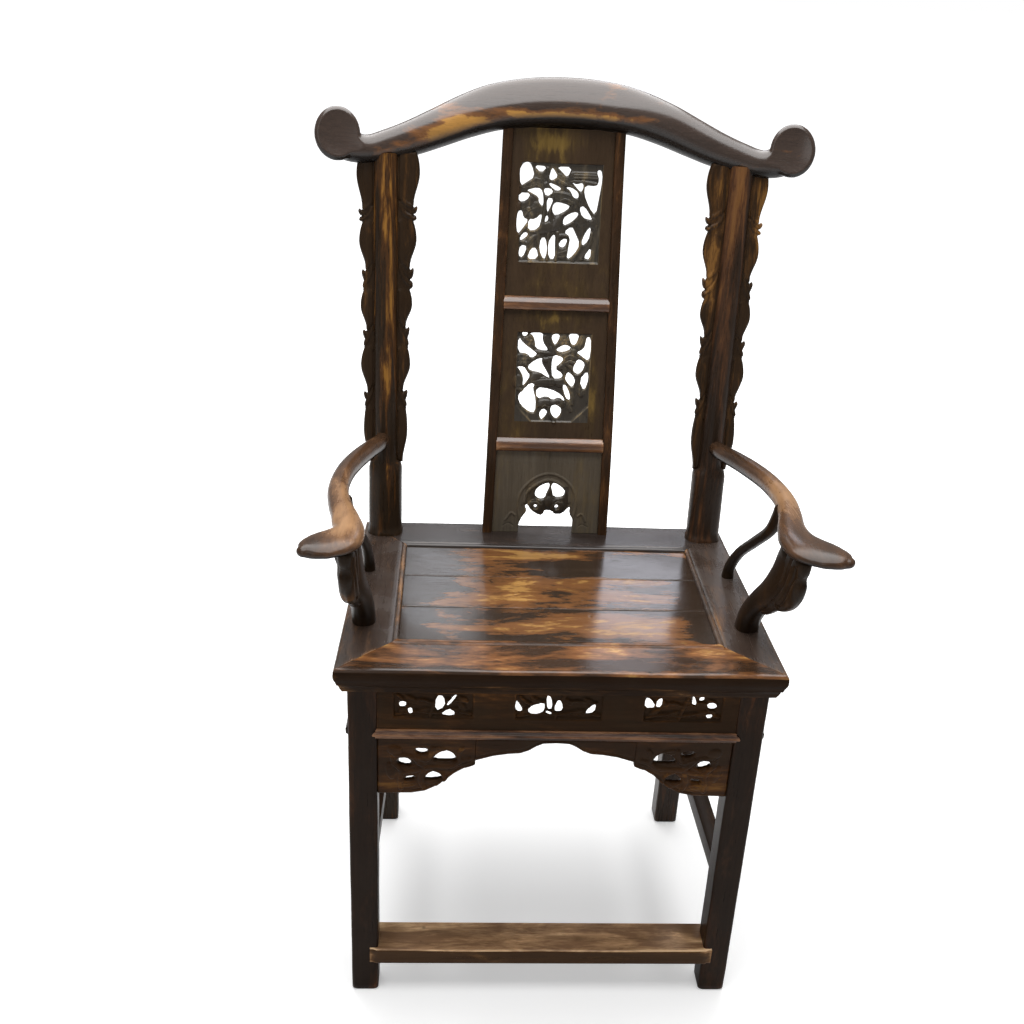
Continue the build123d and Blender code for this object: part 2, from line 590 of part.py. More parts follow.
def sector(which):
    fx, bx = SEAT_FRONT / 2, SEAT_BACK / 2
    out = 1.6
    front_slope = ((fx - PANEL_HALF) * out, (-HALF_D - PANEL_FRONT) * out)
    back_slope = ((bx - PANEL_HALF) * out, (HALF_D - PANEL_BACK) * out)
    a = (PANEL_HALF, PANEL_FRONT)
    b = (PANEL_HALF + front_slope[0], PANEL_FRONT + front_slope[1])
    c = (PANEL_HALF, PANEL_BACK)
    d = (PANEL_HALF + back_slope[0], PANEL_BACK + back_slope[1])
    if which == "front":
        points = [(-b[0], b[1] - GAP), (b[0], b[1] - GAP), (a[0], a[1] - GAP), (-a[0], a[1] - GAP)]
    elif which == "back":
        points = [(-d[0], d[1] + GAP), (d[0], d[1] + GAP), (c[0], c[1] + GAP), (-c[0], c[1] + GAP)]
    else:
        points = [(a[0] + GAP, a[1]), (b[0] + GAP, b[1]), (d[0] + GAP, d[1]), (c[0] + GAP, c[1])]
    return prism_z(points, UNDER - 10, SEAT_TOP + 10)


corner_tongues = [
    (PANEL_HALF + 5, PANEL_HALF + 19, PANEL_FRONT - 32, PANEL_FRONT - 4, UNDER + 5, UNDER + 15),
    (PANEL_HALF + 1, PANEL_HALF + 9, PANEL_BACK + 2, PANEL_BACK + 26, UNDER + 5, UNDER + 15),
]


def make_rails():
    front = frame & sector("front")
    back = frame & sector("back")
    right = frame & sector("right")
    for i, tongue in enumerate(corner_tongues):
        right = right + block(*tongue)
        hole = grown(tongue)
        if i == 0:
            front = front - hole - other_side(hole)
        else:
            back = back - hole - other_side(hole)
    keep("seat_rail_front", front)
    keep("seat_rail_back", back)
    right = biggest(right)
    keep("seat_rail_right", right)
    keep("seat_rail_left", other_side(right))


def make_boards():
    low = SEAT_TOP - BOARD_DROP - BOARD_T
    names = ("front", "middle", "rear")
    depth = (PANEL_BACK - PANEL_FRONT) / len(names)
    for i, name in enumerate(names):
        y0 = PANEL_FRONT + i * depth + (0.3 if i == 0 else 0.12)
        y1 = PANEL_FRONT + (i + 1) * depth - (0.3 if i == 2 else 0.12)
        board = block(-PANEL_HALF + 0.3, PANEL_HALF - 0.3, y0, y1, low, low + BOARD_T)
        ends = block(-PANEL_HALF - TONGUE, PANEL_HALF + TONGUE, y0 - (TONGUE if i == 0 else 0),
                     y1 + (TONGUE if i == 2 else 0), low, low + TONGUE_T)
        keep("seat_board_" + name, board + ends)


def make_battens():
    low = SEAT_TOP - BOARD_DROP - BOARD_T
    body = block(BATTEN_X - BATTEN_W / 2, BATTEN_X + BATTEN_W / 2, PANEL_FRONT + FIT, PANEL_BACK - FIT,
                 UNDER + 1, low - 0.1)
    batten = body + block(*batten_tenon)
    keep("seat_batten_right", batten)
    keep("seat_batten_left", other_side(batten))


# ---------------------------------------------------------------- legs and the work between them
INNER_FRONT = FRONT_LEG_X - LEG / 2
INNER_REAR = REAR_LEG_X - REAR_LEG / 2
front_leg = square_run(FRONT_LEG_X, front_y(0), 0, front_y(UNDER - 0.1), UNDER - 0.1, LEG, LEG, LEG_R)
front_leg = front_leg + block(FRONT_LEG_X - 9, FRONT_LEG_X + 9, FRONT_LEG_Y - 9, FRONT_LEG_Y + 9,
                              UNDER - 5, UNDER + 22)
front_leg_room = square_run(FRONT_LEG_X, front_y(-20), -20, front_y(UNDER + 20), UNDER + 20, LEG + 2 * FIT,
                            LEG + 2 * FIT, LEG_R)
rear_leg_room = square_run(REAR_LEG_X, rear_y(-20), -20, rear_y(UNDER + 20), UNDER + 20, REAR_LEG + 2 * FIT,
                           REAR_LEG + 2 * FIT, LEG_R)
FACE_Y = front_y(470) - LEG / 2 + 1.5
BACK_Y = rear_y(470) + REAR_LEG / 2 - 1.5

front_tenons = []
rear_tenons = []


def across_front(z0, z1, y0, y1):
    """A tenon through both front legs' inner faces."""
    args = (-INNER_FRONT - TENON, INNER_FRONT + TENON, y0, y1, z0, z1)
    front_tenons.append(args)
    return block(*args)


def across_back(z0, z1, y0, y1):
    args = (-INNER_REAR - TENON, INNER_REAR + TENON, y0, y1, z0, z1)
    rear_tenons.append(args)
    return block(*args)


def moulding_profile(y, z0, z1, out):
    """Rail with a hollow-and-bead front that stands proud of the boards."""
    mid = z0 + (z1 - z0) * 0.6
    return [(y + 20 * out, z0), (y, z0), (y - 4.0 * out, z0 + 2), (y - 5.0 * out, mid - 1),
            (y - 4.4 * out, mid + 1), (y - 1.0 * out, z1), (y + 20 * out, z1)]


def under_rail_front():
    x = INNER_FRONT - FIT
    body = prism_x(moulding_profile(FACE_Y - 1.0, RAIL_LOW, WAIST_LOW, 1), -x, x)
    return body + across_front(RAIL_LOW + 3, WAIST_LOW - 3, FACE_Y + 5, FACE_Y + 15)


def under_rail_back():
    x = INNER_REAR - FIT
    body = prism_x(moulding_profile(BACK_Y + 1.0, RAIL_LOW, WAIST_LOW, -1), -x, x)
    return body + across_back(RAIL_LOW + 3, WAIST_LOW - 3, BACK_Y - 15, BACK_Y - 5)


WINDOWS = [(-208.0, -108.0), (-55.0, 55.0), (108.0, 208.0)]
WINDOW_Z = (463.0, 501.0)
WINDOW_DEEP = 3.5         # the carving lies this far behind the waist's face
PIERCINGS = [
    (-197, 482, 3.2, 3.2, 0), (-187, 472, 2, 2.8, 0), (-150, 484, 4.8, 10.5, 0), (-135, 489, 2.4, 8, -38),
    (-140, 470, 7.5, 4, 10), (-51, 482, 3.8, 7.5, 0), (-30, 479, 8.5, 8, 20), (-13, 487, 4.2, 8, 15),
    (-12, 472, 2.6, 3.2, 0), (0, 483, 4, 8, -15), (39, 478, 7, 6, 10), (115, 488, 6, 7, 0),
    (127, 487, 2.8, 6.5, 15), (170, 493, 3.2, 6.5, 15), (181, 496, 2, 2.2, 0), (195, 485, 5.5, 4, -20),
    (193, 470, 2.8, 3, 0),
]


def waist_front():
    x = INNER_FRONT - FIT
    body = block(-x, x, FACE_Y, FACE_Y + BOARD_THICK, WAIST_LOW + FIT, UNDER - FIT)
    body = body + across_front(468, 494, FACE_Y + 4.5, FACE_Y + 11)
    front, back = FACE_Y + WINDOW_DEEP, FACE_Y + WINDOW_DEEP + FRET_T
    for a, b in WINDOWS:
        body = body - block(a, b, FACE_Y - 5, front, *WINDOW_Z) - block(a, b, back, FACE_Y + 30, *WINDOW_Z)
    holes = joined([oval(*p) for p in PIERCINGS])
    return body - extrude(Plane.XZ * holes, -400, both=True)


def waist_back():
    x = INNER_REAR - FIT
    body = block(-x, x, BACK_Y - BOARD_THICK, BACK_Y, WAIST_LOW + FIT, UNDER - FIT)
    return body + across_back(468, 494, BACK_Y - 11, BACK_Y - 4.5)


BRACKET_X = 103.0
CENTRE_CURVE = [(BRACKET_X, 397.5), (80, 405), (60, 408.5), (46, 409.5), (35, 414), (26, 420.5), (17, 425),
                (0, 426)]
BRACKET_CURVE = [(BRACKET_X, 390.5), (118, 384), (130, 376), (141, 365), (152, 356), (167, 347.5), (184, 344)]
BRACKET_HOLES = [(171.5, 410.5, 7.5, 4.6, 0), (142, 402, 12, 8, 25), (156.5, 371, 8.5, 5.6, 12),
                 (187, 367.5, 6.2, 3.6, -12), (193.5, 393, 8, 6, 15)]
BRACKET_DISHES = [(119, 415, 5, 6.5, 0), (147, 385, 13, 4, 15), (210, 405, 5, 9, 0), (211, 375, 5, 12, 0)]


def apron_centre():
    right = [(x, z) for x, z in CENTRE_CURVE]
    left = [(-x, z) for x, z in reversed(CENTRE_CURVE[:-1])]
    x = BRACKET_X - 0.1
    top = RAIL_LOW - FIT
    outline = [(-x, top), (x, top), (x, right[0][1])] + right[1:] + left[:-1] + [(-x, left[-1][1])]
    body = prism_y(outline, FACE_Y + 0.5, FACE_Y + 0.5 + FRONT_APRON_T)
    tongue = block(-x - 6, x + 6, FACE_Y + 3, FACE_Y + 8, 404, 424)
    return body + tongue


def apron_bracket():
    top = RAIL_LOW - FIT
    x = INNER_FRONT - FIT
    outline = [(BRACKET_X, top), (x, top), (x, APRON_LOW)] + list(reversed(BRACKET_CURVE))
    body = prism_y(outline, FACE_Y + 0.5, FACE_Y + 0.5 + FRONT_APRON_T)
    holes = joined([oval(*p) for p in BRACKET_HOLES])
    body = body - extrude(Plane.XZ * holes, -400, both=True)
    dishes = joined([oval(*p) for p in BRACKET_DISHES])
    dish = extrude(Plane(origin=(0, FACE_Y - 3, 0), x_dir=(1, 0, 0), z_dir=(0, -1, 0)) * dishes, -6.5)
    body = body - dish
    body = body - block(BRACKET_X - 1, BRACKET_X + 6.4, FACE_Y + 3 - FIT, FACE_Y + 8 + FIT,
                        404 - FIT, 424 + FIT)
    tenon = (INNER_FRONT - 2, INNER_FRONT + 9, FACE_Y + 3.5, FACE_Y + 9.5, 360, 410)
    front_tenons.append((-tenon[1], tenon[1], *tenon[2:]))
    return body + block(*tenon)


def apron_back():
    x = INNER_REAR - FIT
    low = 384.0
    outline = [(-x, RAIL_LOW - FIT), (x, RAIL_LOW - FIT), (x, APRON_LOW), (x - 28, APRON_LOW),
               (x - 52, low - 18), (x - 90, low), (-x + 90, low), (-x + 52, low - 18), (-x + 28, APRON_LOW),
               (-x, APRON_LOW)]
    body = prism_y(outline, BACK_Y - BOARD_THICK, BACK_Y - 1)
    return body + across_back(388, 420, BACK_Y - 11, BACK_Y - 5)


def side_plan(outer_front, outer_back, thick):
    y0, y1 = FRONT_LEG_Y - 10, POST_Y + 10
    return [(outer_front - thick, y0), (outer_front, y0), (outer_back, y1), (outer_back - thick, y1)]


SIDE_FRONT = FRONT_LEG_X + LEG / 2 - 1.5
SIDE_REAR = REAR_LEG_X + REAR_LEG / 2 - 1.5
side_tenons = []


def between_side_legs(shape, z0, z1, thick=6.0):
    """Shoulders the piece to both legs of a side and adds a tenon into each."""
    body = biggest(shape - front_leg_room - rear_leg_room)
    share = lambda y: (y - FRONT_LEG_Y) / (POST_Y - FRONT_LEG_Y)
    mid = (z0 + z1) / 2
    for y, toward in ((front_y(mid) + LEG / 2, -1), (rear_y(mid) - REAR_LEG / 2, 1)):
        centre = (SIDE_FRONT + (SIDE_REAR - SIDE_FRONT) * share(y)) - BOARD_THICK / 2
        args = (centre - thick / 2, centre + thick / 2, y - 3 if toward > 0 else y - TENON,
                y + TENON if toward > 0 else y + 3, z0, z1)
        side_tenons.append(args)
        body = body + block(*args)
    return body


def waist_side():
    body = prism_z(side_plan(SIDE_FRONT, SIDE_REAR, BOARD_THICK), WAIST_LOW + FIT, UNDER - FIT)
    return between_side_legs(body, 470, 492)


def under_rail_side():
    faces = []
    for z, out in ((RAIL_LOW, 0.5), (RAIL_LOW + 2, 4.5), (RAIL_LOW + 9, 5.0), (WAIST_LOW, 1.5)):
        plan = side_plan(SIDE_FRONT + out, SIDE_REAR + out, BOARD_THICK + out)
        faces.append(make_face(Polyline(*[(x, y, z) for x, y in plan], close=True)))
    return between_side_legs(loft(faces, ruled=True), RAIL_LOW + 3, WAIST_LOW - 3)


def apron_side():
    body = prism_z(side_plan(SIDE_FRONT, SIDE_REAR, BOARD_THICK - 1), APRON_LOW, RAIL_LOW - FIT)
    y0, y1 = front_y(400) + LEG / 2, rear_y(400) - REAR_LEG / 2
    arch = [(y0 + 28, APRON_LOW - 5), (y0 + 28, APRON_LOW), (y0 + 52, 366), (y0 + 84, 384), (y1 - 84, 384),
            (y1 - 52, 366), (y1 - 28, APRON_LOW), (y1 - 28, APRON_LOW - 5)]
    body = body - prism_x(arch, 150, 320)
    return between_side_legs(body, 392, 418)


def side_stretcher():
    x0, x1 = FRONT_LEG_X - 1, REAR_LEG_X - 1
    plan = [(x0 - BAR_W / 2, FRONT_LEG_Y), (x0 + BAR_W / 2, FRONT_LEG_Y), (x1 + BAR_W / 2, POST_Y + 10),
            (x1 - BAR_W / 2, POST_Y + 10)]
    body = prism_z(plan, SIDE_BAR[0], SIDE_BAR[1])
    return between_side_legs(body, SIDE_BAR[0] + 5, SIDE_BAR[1] - 5, 8.0)


def back_stretcher():
    x = INNER_REAR - FIT
    y = rear_y((BACK_BAR[0] + BACK_BAR[1]) / 2)
    bar = block(-x, x, y - BAR_W / 2, y + BAR_W / 2, *BACK_BAR)
    return bar + across_back(BACK_BAR[0] + 5, BACK_BAR[1] - 5, y - 5, y + 5)


def footrest():
    z0, z1 = FOOTREST_TOP - FOOTREST_T, FOOTREST_TOP
    x = INNER_FRONT - FIT
    plank = block(-x, x, FOOTREST_FRONT, FOOTREST_BACK, z0, z1)
    lip_face = front_y(z0) - LEG / 2 - 0.3
    lip = block(-x - 12, x + 12, FOOTREST_FRONT, lip_face, z0, z1)
    edge = (plank + lip)
    rounding = [e for e in edge.edges() if abs(e.center().Y - FOOTREST_FRONT) < 0.01 and e.length > 300]
    edge = fillet(rounding, 3.0)
    y = front_y(67)
    return edge + across_front(z0 + 8, z1 - 8, y - 9, y + 9)


# ---------------------------------------------------------------- make every piece
make_rails()
make_boards()
make_battens()

pairs = {
    "waist": waist_side(), "under_rail": under_rail_side(), "apron": apron_side(),
    "side_stretcher": side_stretcher(), "apron_front_bracket": apron_bracket(), "splat_stile": stile,
    "post_wing_outer": wing_outer, "post_wing_inner": wing_inner, "arm": arm, "arm_front_post": front_post,
    "arm_front_wing": arm_wing, "arm_side_post": side_post,
}
singles = {
    "under_rail_front": under_rail_front(), "under_rail_back": under_rail_back(), "waist_front": waist_front(),
    "waist_back": waist_back(), "apron_front_centre": apron_centre(), "apron_back": apron_back(),
    "back_stretcher": back_stretcher(), "footrest": footrest(), "splat_top_panel": make_top_panel(),
    "splat_middle_panel": make_middle_panel(), "splat_bottom_panel": make_bottom_panel(),
    "splat_upper_bar": make_bar(*UPPER_BAR), "splat_lower_bar": make_bar(*LOWER_BAR),
}
for args in front_tenons:
    front_leg = front_leg - grown(args)
for args in rear_tenons:
    rear_post = rear_post - grown(args)
for args in side_tenons:
    if args[2] < 0:
        front_leg = front_leg - grown(args)
    else:
        rear_post = rear_post - grown(args)
pairs["front_leg"] = front_leg
pairs["rear_post"] = rear_post
crest = crest_raw
for cut in (post_tenon_hole, stile_hole_top):
    crest = crest - cut - other_side(cut)
singles["crest_rail"] = crest

for name, shape in singles.items():
    keep(name, shape)
for name, shape in pairs.items():
    solid = shape if isinstance(shape, Solid) else biggest(shape)
    keep(name + "_right", solid)
    keep(name + "_left", other_side(solid))

for name, solid in NODES.items():
    export_step(solid, "parts/" + name + ".step")
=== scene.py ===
import math

import bmesh
import bpy
import numpy as np
from mathutils import Matrix, Vector


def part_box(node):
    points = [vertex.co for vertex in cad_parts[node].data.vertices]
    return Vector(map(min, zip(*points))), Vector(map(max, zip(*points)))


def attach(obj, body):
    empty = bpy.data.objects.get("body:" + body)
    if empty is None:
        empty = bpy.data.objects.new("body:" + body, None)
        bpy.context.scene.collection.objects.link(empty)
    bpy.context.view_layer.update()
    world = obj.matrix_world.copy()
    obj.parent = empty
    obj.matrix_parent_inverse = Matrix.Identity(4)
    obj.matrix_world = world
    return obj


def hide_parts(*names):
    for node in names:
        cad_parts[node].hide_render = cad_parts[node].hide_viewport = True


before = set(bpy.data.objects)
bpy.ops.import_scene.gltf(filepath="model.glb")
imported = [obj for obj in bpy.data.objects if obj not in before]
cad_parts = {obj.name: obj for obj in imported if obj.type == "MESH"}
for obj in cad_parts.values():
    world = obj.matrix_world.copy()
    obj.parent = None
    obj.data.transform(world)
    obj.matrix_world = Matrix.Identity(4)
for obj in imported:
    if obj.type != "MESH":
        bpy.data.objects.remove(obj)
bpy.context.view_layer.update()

MM = 0.001

# ---------------------------------------------------------------- sizes shared with the model, in mm
SEAT_TOP, FRAME_T = 546.0, 38.0
UNDER = SEAT_TOP - FRAME_T
SEAT_FRONT, SEAT_BACK, HALF_D = 280.0, 268.0, 202.0
PANEL_HALF, PANEL_FRONT, PANEL_BACK = 204.0, -130.0, 125.0
BOARD_TOP = 544.5
FRONT_LEG_X, FRONT_LEG_Y, FRONT_SPLAY, LEG = 247.0, -166.5, 7.0, 37.0
REAR_LEG_X, POST_X, POST_Y, REAR_SPLAY, POST_LEAN = 236.5, 238.0, 172.0, 15.0, 0.0743
SHOULDER = 655.0
CREST_Y, CREST_Z = 254.3, 1153.0
FACE_Y = -184.0
INNER_FRONT = FRONT_LEG_X - LEG / 2
RAIL_LOW, WAIST_LOW = 431.0, 446.0
SPLAT_LINE = [(540, 180.5), (600, 180), (660, 182), (730, 189), (800, 200), (870, 213), (940, 226), (1010, 238),
              (1070, 246), (1125, 250)]
SPLAT_FOOT, SPLAT_TAPER, SPLAT_END = 187.0, 21.0, 1118.0
SIDES = (("right", 1), ("left", -1))


def post_y(z):
    return POST_Y + (z - SEAT_TOP) * POST_LEAN


def splat_y(z):
    zs, ys = zip(*SPLAT_LINE)
    return float(np.interp(z, zs, ys))


def splat_half(z):
    return (SPLAT_FOOT - SPLAT_TAPER * (z - SEAT_TOP) / (SPLAT_END - SEAT_TOP)) / 2


def held(share):
    return min(max(share, 0.0), 1.0)


def eased(share):
    """Held between 0 and 1, with a soft start and end."""
    share = held(share)
    return share * share * (3 - 2 * share)


# ---------------------------------------------------------------- shader nodes
class Nodes:
    """Short way to add and join nodes in one tree."""

    def __init__(self, tree):
        self.tree = tree

    def add(self, kind, inputs=None, **settings):
        node = self.tree.nodes.new(kind)
        for key, value in settings.items():
            setattr(node, key, value)
        for key, value in (inputs or {}).items():
            self.put(node.inputs[key], value)
        return node

    def put(self, socket, value):
        if isinstance(value, bpy.types.NodeSocket):
            self.tree.links.new(value, socket)
        else:
            socket.default_value = value

    def math(self, operation, a, b, clamp=False):
        return self.add("ShaderNodeMath", {0: a, 1: b}, operation=operation, use_clamp=clamp).outputs[0]

    def plus(self, a, b, clamp=False):
        return self.math("ADD", a, b, clamp)

    def minus(self, a, b):
        return self.math("SUBTRACT", a, b)

    def times(self, a, b, clamp=False):
        return self.math("MULTIPLY", a, b, clamp)

    def mark(self, name):
        """Value that mark_wear_and_shade stored on the mesh."""
        return self.add("ShaderNodeAttribute", attribute_name=name).outputs["Fac"]

    def group(self, tree, inputs):
        return self.add("ShaderNodeGroup", inputs, node_tree=tree).outputs

    def ramp(self, value, low, high, to_low=0.0, to_high=1.0):
        node = self.add("ShaderNodeMapRange", {"Value": value, "From Min": low, "From Max": high,
                                               "To Min": to_low, "To Max": to_high}, interpolation_type="SMOOTHSTEP")
        return node.outputs["Result"]

    def noise(self, where, scale, detail, rough=0.55, distortion=0.0):
        node = self.add("ShaderNodeTexNoise", {"Vector": where, "Scale": scale, "Detail": detail,
                                               "Roughness": rough, "Distortion": distortion})
        return node.outputs["Fac"]

    def mix(self, share, a, b):
        node = self.add("ShaderNodeMix", data_type="RGBA", blend_type="MIX")
        for socket, value in zip((node.inputs[0], node.inputs[6], node.inputs[7]), (share, a, b)):
            self.put(socket, value)
        return node.outputs[2]

    def shade(self, colour, factor):
        return self.add("ShaderNodeVectorMath", {0: colour, "Scale": factor}, operation="SCALE").outputs[0]


def new_group(name, vector, values, outputs):
    """Node group with one vector input, number inputs and number outputs."""
    group = bpy.data.node_groups.new(name, "ShaderNodeTree")
    group.interface.new_socket(vector, in_out="INPUT", socket_type="NodeSocketVector")
    for labels, way in ((values, "INPUT"), (outputs, "OUTPUT")):
        for label in labels:
            group.interface.new_socket(label, in_out=way, socket_type="NodeSocketFloat")
    n = Nodes(group)
    return group, n, n.add("NodeGroupInput").outputs, n.add("NodeGroupOutput").inputs


def clean_nodes(owner):
    """Empty node tree of a new material or world."""
    owner.use_nodes = True
    owner.node_tree.nodes.clear()
    return Nodes(owner.node_tree)


def rgb(r, g, b):
    """Eight-bit colour as seen, turned to the linear values a shader takes."""
    return tuple(((c / 255 + 0.055) / 1.055) ** 2.4 if c > 10 else c / 255 / 12.92 for c in (r, g, b)) + (1.0,)


def grain_group():
    """Fibres, pores and slow colour drift. The vector runs along the grain in its X."""
    group, n, entry, leave = new_group("wood fibres", "Along Grain", (), ("Tone", "Height"))
    stretched = n.add("ShaderNodeMapping", {"Vector": entry["Along Grain"], "Scale": (5.0, 90.0, 90.0)}).outputs[0]
    fibre = n.noise(stretched, 3.0, 6.0, 0.62, 0.4)
    wide = n.noise(stretched, 0.45, 3.0, 0.5, 0.8)
    pores = n.ramp(n.noise(stretched, 9.0, 2.0, 0.5), 0.60, 0.72)
    tone = n.plus(n.times(n.minus(fibre, 0.5), 0.75), n.times(n.minus(wide, 0.5), 0.7))
    n.put(leave["Tone"], n.minus(n.plus(tone, 1.0), n.times(pores, 0.22)))
    n.put(leave["Height"], n.minus(n.times(fibre, 0.6), n.times(pores, 0.5)))
    return group


def wear_group():
    """Lacquer rubbed through in streaks: Thin is the brown half-worn coat, Bare the open wood."""
    group, n, entry, leave = new_group("rubbed lacquer", "Along Grain",
                                       ("Rubbing", "Edge", "Patch Size", "Softness", "Streak"),
                                       ("Thin", "Bare", "Height"))
    spread = n.add("ShaderNodeCombineXYZ", {0: 7.0, 1: entry["Streak"], 2: entry["Streak"]}).outputs[0]
    flow = n.add("ShaderNodeVectorMath", {0: entry["Along Grain"], 1: spread}, operation="MULTIPLY").outputs[0]
    flow = n.shade(flow, entry["Patch Size"])
    broad = n.noise(flow, 1.0, 5.0, 0.6, 0.6)
    ragged = n.noise(flow, 4.5, 4.0, 0.7, 0.5)
    field = n.plus(n.times(broad, 0.72), n.times(ragged, 0.28))
    field = n.plus(field, n.times(n.minus(entry["Rubbing"], 0.5), 0.6))
    field = n.plus(field, n.times(entry["Edge"], 0.30))
    thin_level, bare_level = 0.52, 0.605
    soft, firm = entry["Softness"], n.times(entry["Softness"], 0.6)
    thin = n.ramp(field, n.minus(thin_level, soft), n.plus(thin_level, soft))
    bare = n.ramp(field, n.minus(bare_level, firm), n.plus(bare_level, firm))
    n.put(leave["Thin"], thin)
    n.put(leave["Bare"], bare)
    n.put(leave["Height"], n.minus(1.0, n.times(n.plus(thin, bare), 0.5)))
    return group


def knock_group():
    """Small dents, nail pricks and scratches left by years of use."""
    group, n, entry, leave = new_group("knocks and dents", "Place", (), ("Pit", "Height"))
    place = entry["Place"]
    cells = n.add("ShaderNodeTexVoronoi", {"Vector": place, "Scale": 26.0, "Randomness": 1.0})
    pit = n.ramp(cells.outputs["Distance"], 0.05, 0.12, 1.0, 0.0)
    pit = n.times(pit, n.math("GREATER_THAN", n.noise(place, 9.0, 1.0), 0.60))
    swell = n.noise(place, 14.0, 3.0, 0.5)
    n.put(leave["Pit"], pit)
    n.put(leave["Height"], n.minus(n.times(swell, 0.8), n.times(pit, 0.7)))
    return group


def dust_group():
    """Grey dust and old wax that stays in hollows."""
    group, n, entry, leave = new_group("dust in hollows", "Place", ("Hollow", "Amount"), ("Cover",))
    cloud = n.noise(entry["Place"], 60.0, 5.0, 0.65)
    wide = n.ramp(n.noise(entry["Place"], 17.0, 3.0, 0.5), 0.42, 0.66)
    cover = n.plus(n.times(entry["Hollow"], n.ramp(cloud, 0.3, 0.7)), n.times(wide, 0.35))
    n.put(leave["Cover"], n.times(cover, entry["Amount"], clamp=True))
    return group


GRAIN, WEAR, KNOCKS, DUST = grain_group(), wear_group(), knock_group(), dust_group()
TURN = {"x": (0.0, 0.0, 0.0), "y": (0.0, 0.0, -math.pi / 2), "z": (0.0, math.pi / 2, 0.0)}
# the second tone is painted shade: faces that look down are darkened towards it
PIT_TONE, UNDERSIDE_SHADE_TONE = (14, 10, 8), (12, 8, 6)


def lacquer(name, along, coat=(44, 30, 19), thin=(66, 44, 26), bare=(104, 70, 38), rubbing=0.35, edge=0.4,
            dust=0.1, dust_tone=(84, 78, 70), gloss=0.30, patch=1.0, soft=0.07, streak=34.0, shine=0.1,
            polish=0.0, knocked=0.5, underside_shade=0.3, bump=1.0):
    """Old lacquer on wood, worn where the piece's rubbed and worn_edge marks say, dusty in hollows, with painted
    shade on the faces that look down.

    The three tones are the sound coat, the half-worn coat and the open wood; rubbing moves all the limits
    between them, soft blurs those limits, streak narrows the patches across the grain.
    """
    material = bpy.data.materials.new(name)
    n = clean_nodes(material)
    place = n.add("ShaderNodeTexCoord").outputs["Object"]
    grained = n.add("ShaderNodeMapping", {"Vector": place, "Rotation": TURN[along]}).outputs[0]
    under = n.mark("under")
    grain = n.group(GRAIN, {"Along Grain": grained})
    wear = n.group(WEAR, {"Along Grain": grained, "Patch Size": patch, "Softness": soft, "Streak": streak,
                          "Edge": n.times(n.mark("worn_edge"), edge), "Rubbing": n.plus(n.mark("rubbed"), rubbing)})
    knocks = n.group(KNOCKS, {"Place": place})
    dusty = n.group(DUST, {"Place": place, "Hollow": n.mark("hollow"), "Amount": dust})["Cover"]
    colour = n.mix(wear["Thin"], rgb(*coat), rgb(*thin))
    colour = n.mix(wear["Bare"], colour, rgb(*bare))
    colour = n.shade(colour, grain["Tone"])
    colour = n.mix(n.times(knocks["Pit"], knocked), colour, rgb(*PIT_TONE))
    colour = n.mix(dusty, colour, rgb(*dust_tone))
    # painted shade: faces that look down are darkened by the under mark
    colour = n.mix(n.times(under, underside_shade), colour, rgb(*UNDERSIDE_SHADE_TONE))
    rough = n.plus(gloss, n.times(wear["Bare"], 0.08))
    rough = n.plus(rough, n.times(n.minus(grain["Tone"], 1.0), 0.12))
    rough = n.plus(rough, n.times(dusty, 0.35), clamp=True)
    height = n.plus(n.times(grain["Height"], 0.10), n.times(wear["Height"], 0.10))
    height = n.plus(height, n.times(knocks["Height"], 0.75))
    relief = n.add("ShaderNodeBump", {"Height": height, "Strength": 0.5 * bump, "Distance": 0.0016})
    surface = n.add("ShaderNodeBsdfPrincipled", {
        "Base Color": colour, "Roughness": rough, "Normal": relief.outputs[0], "Specular IOR Level": shine,
        "Coat Roughness": gloss * 0.8})
    if polish:
        n.put(surface.inputs["Coat Weight"], n.times(n.minus(1.0, under), polish))
    n.add("ShaderNodeOutputMaterial", {"Surface": surface.outputs[0]})
    return material


LACQUER = {axis: lacquer("dark lacquer, grain along " + axis, axis) for axis in "xy"}
LEGS = lacquer("leg lacquer", "z", (33, 21, 12), (54, 33, 18), (86, 51, 27), rubbing=0.41, soft=0.1, dust=0.06)
WAIST = lacquer("waist lacquer", "x", (46, 29, 13), (66, 41, 18), (100, 64, 30), rubbing=0.44, soft=0.09,
                dust=0.34, dust_tone=(50, 47, 38), shine=0.06)
APRON = lacquer("apron lacquer", "x", (46, 29, 15), (72, 44, 20), (104, 70, 32), rubbing=0.41, soft=0.1,
                edge=0.2, dust=0.22, dust_tone=(74, 66, 54), shine=0.08)
MOULDED = lacquer("moulded rail lacquer", "x", (54, 36, 24), (106, 70, 47), (142, 102, 72), rubbing=0.4,
                  edge=1.1, soft=0.09, shine=0.25, dust=0.04)
# the seat's moulded edge takes this darker, less shiny copy of the rail lacquer: painted shade
RIM = lacquer("seat edge lacquer, painted shade", "x", (40, 25, 13), (66, 44, 24), (112, 80, 50), rubbing=0.34, edge=0.8,
              soft=0.05, shine=0.04, gloss=0.35)
POSTS = lacquer("post lacquer", "z", (44, 32, 20), (92, 58, 28), (152, 106, 46), rubbing=0.37, edge=0.1,
                soft=0.1, streak=130.0, gloss=0.28, shine=0.2, dust=0.08, patch=0.8)
RED_POST = lacquer("reddish post lacquer", "z", (46, 34, 25), (92, 60, 38), (118, 80, 44), rubbing=0.37,
                   edge=0.1, soft=0.12, streak=90.0, gloss=0.28, shine=0.2, dust=0.08, patch=0.85)
WINGS = lacquer("post wing lacquer", "z", (50, 36, 23), (82, 56, 31), (128, 90, 46), rubbing=0.38, edge=0.06,
                streak=70.0, shine=0.12, dust_tone=(66, 60, 50), patch=1.2)
STILES = lacquer("splat stile lacquer", "z", (52, 37, 24), (77, 51, 31), (114, 77, 42), rubbing=0.42, edge=0.3,
                 soft=0.15, streak=70.0, gloss=0.28, dust=0.04, shine=0.15)
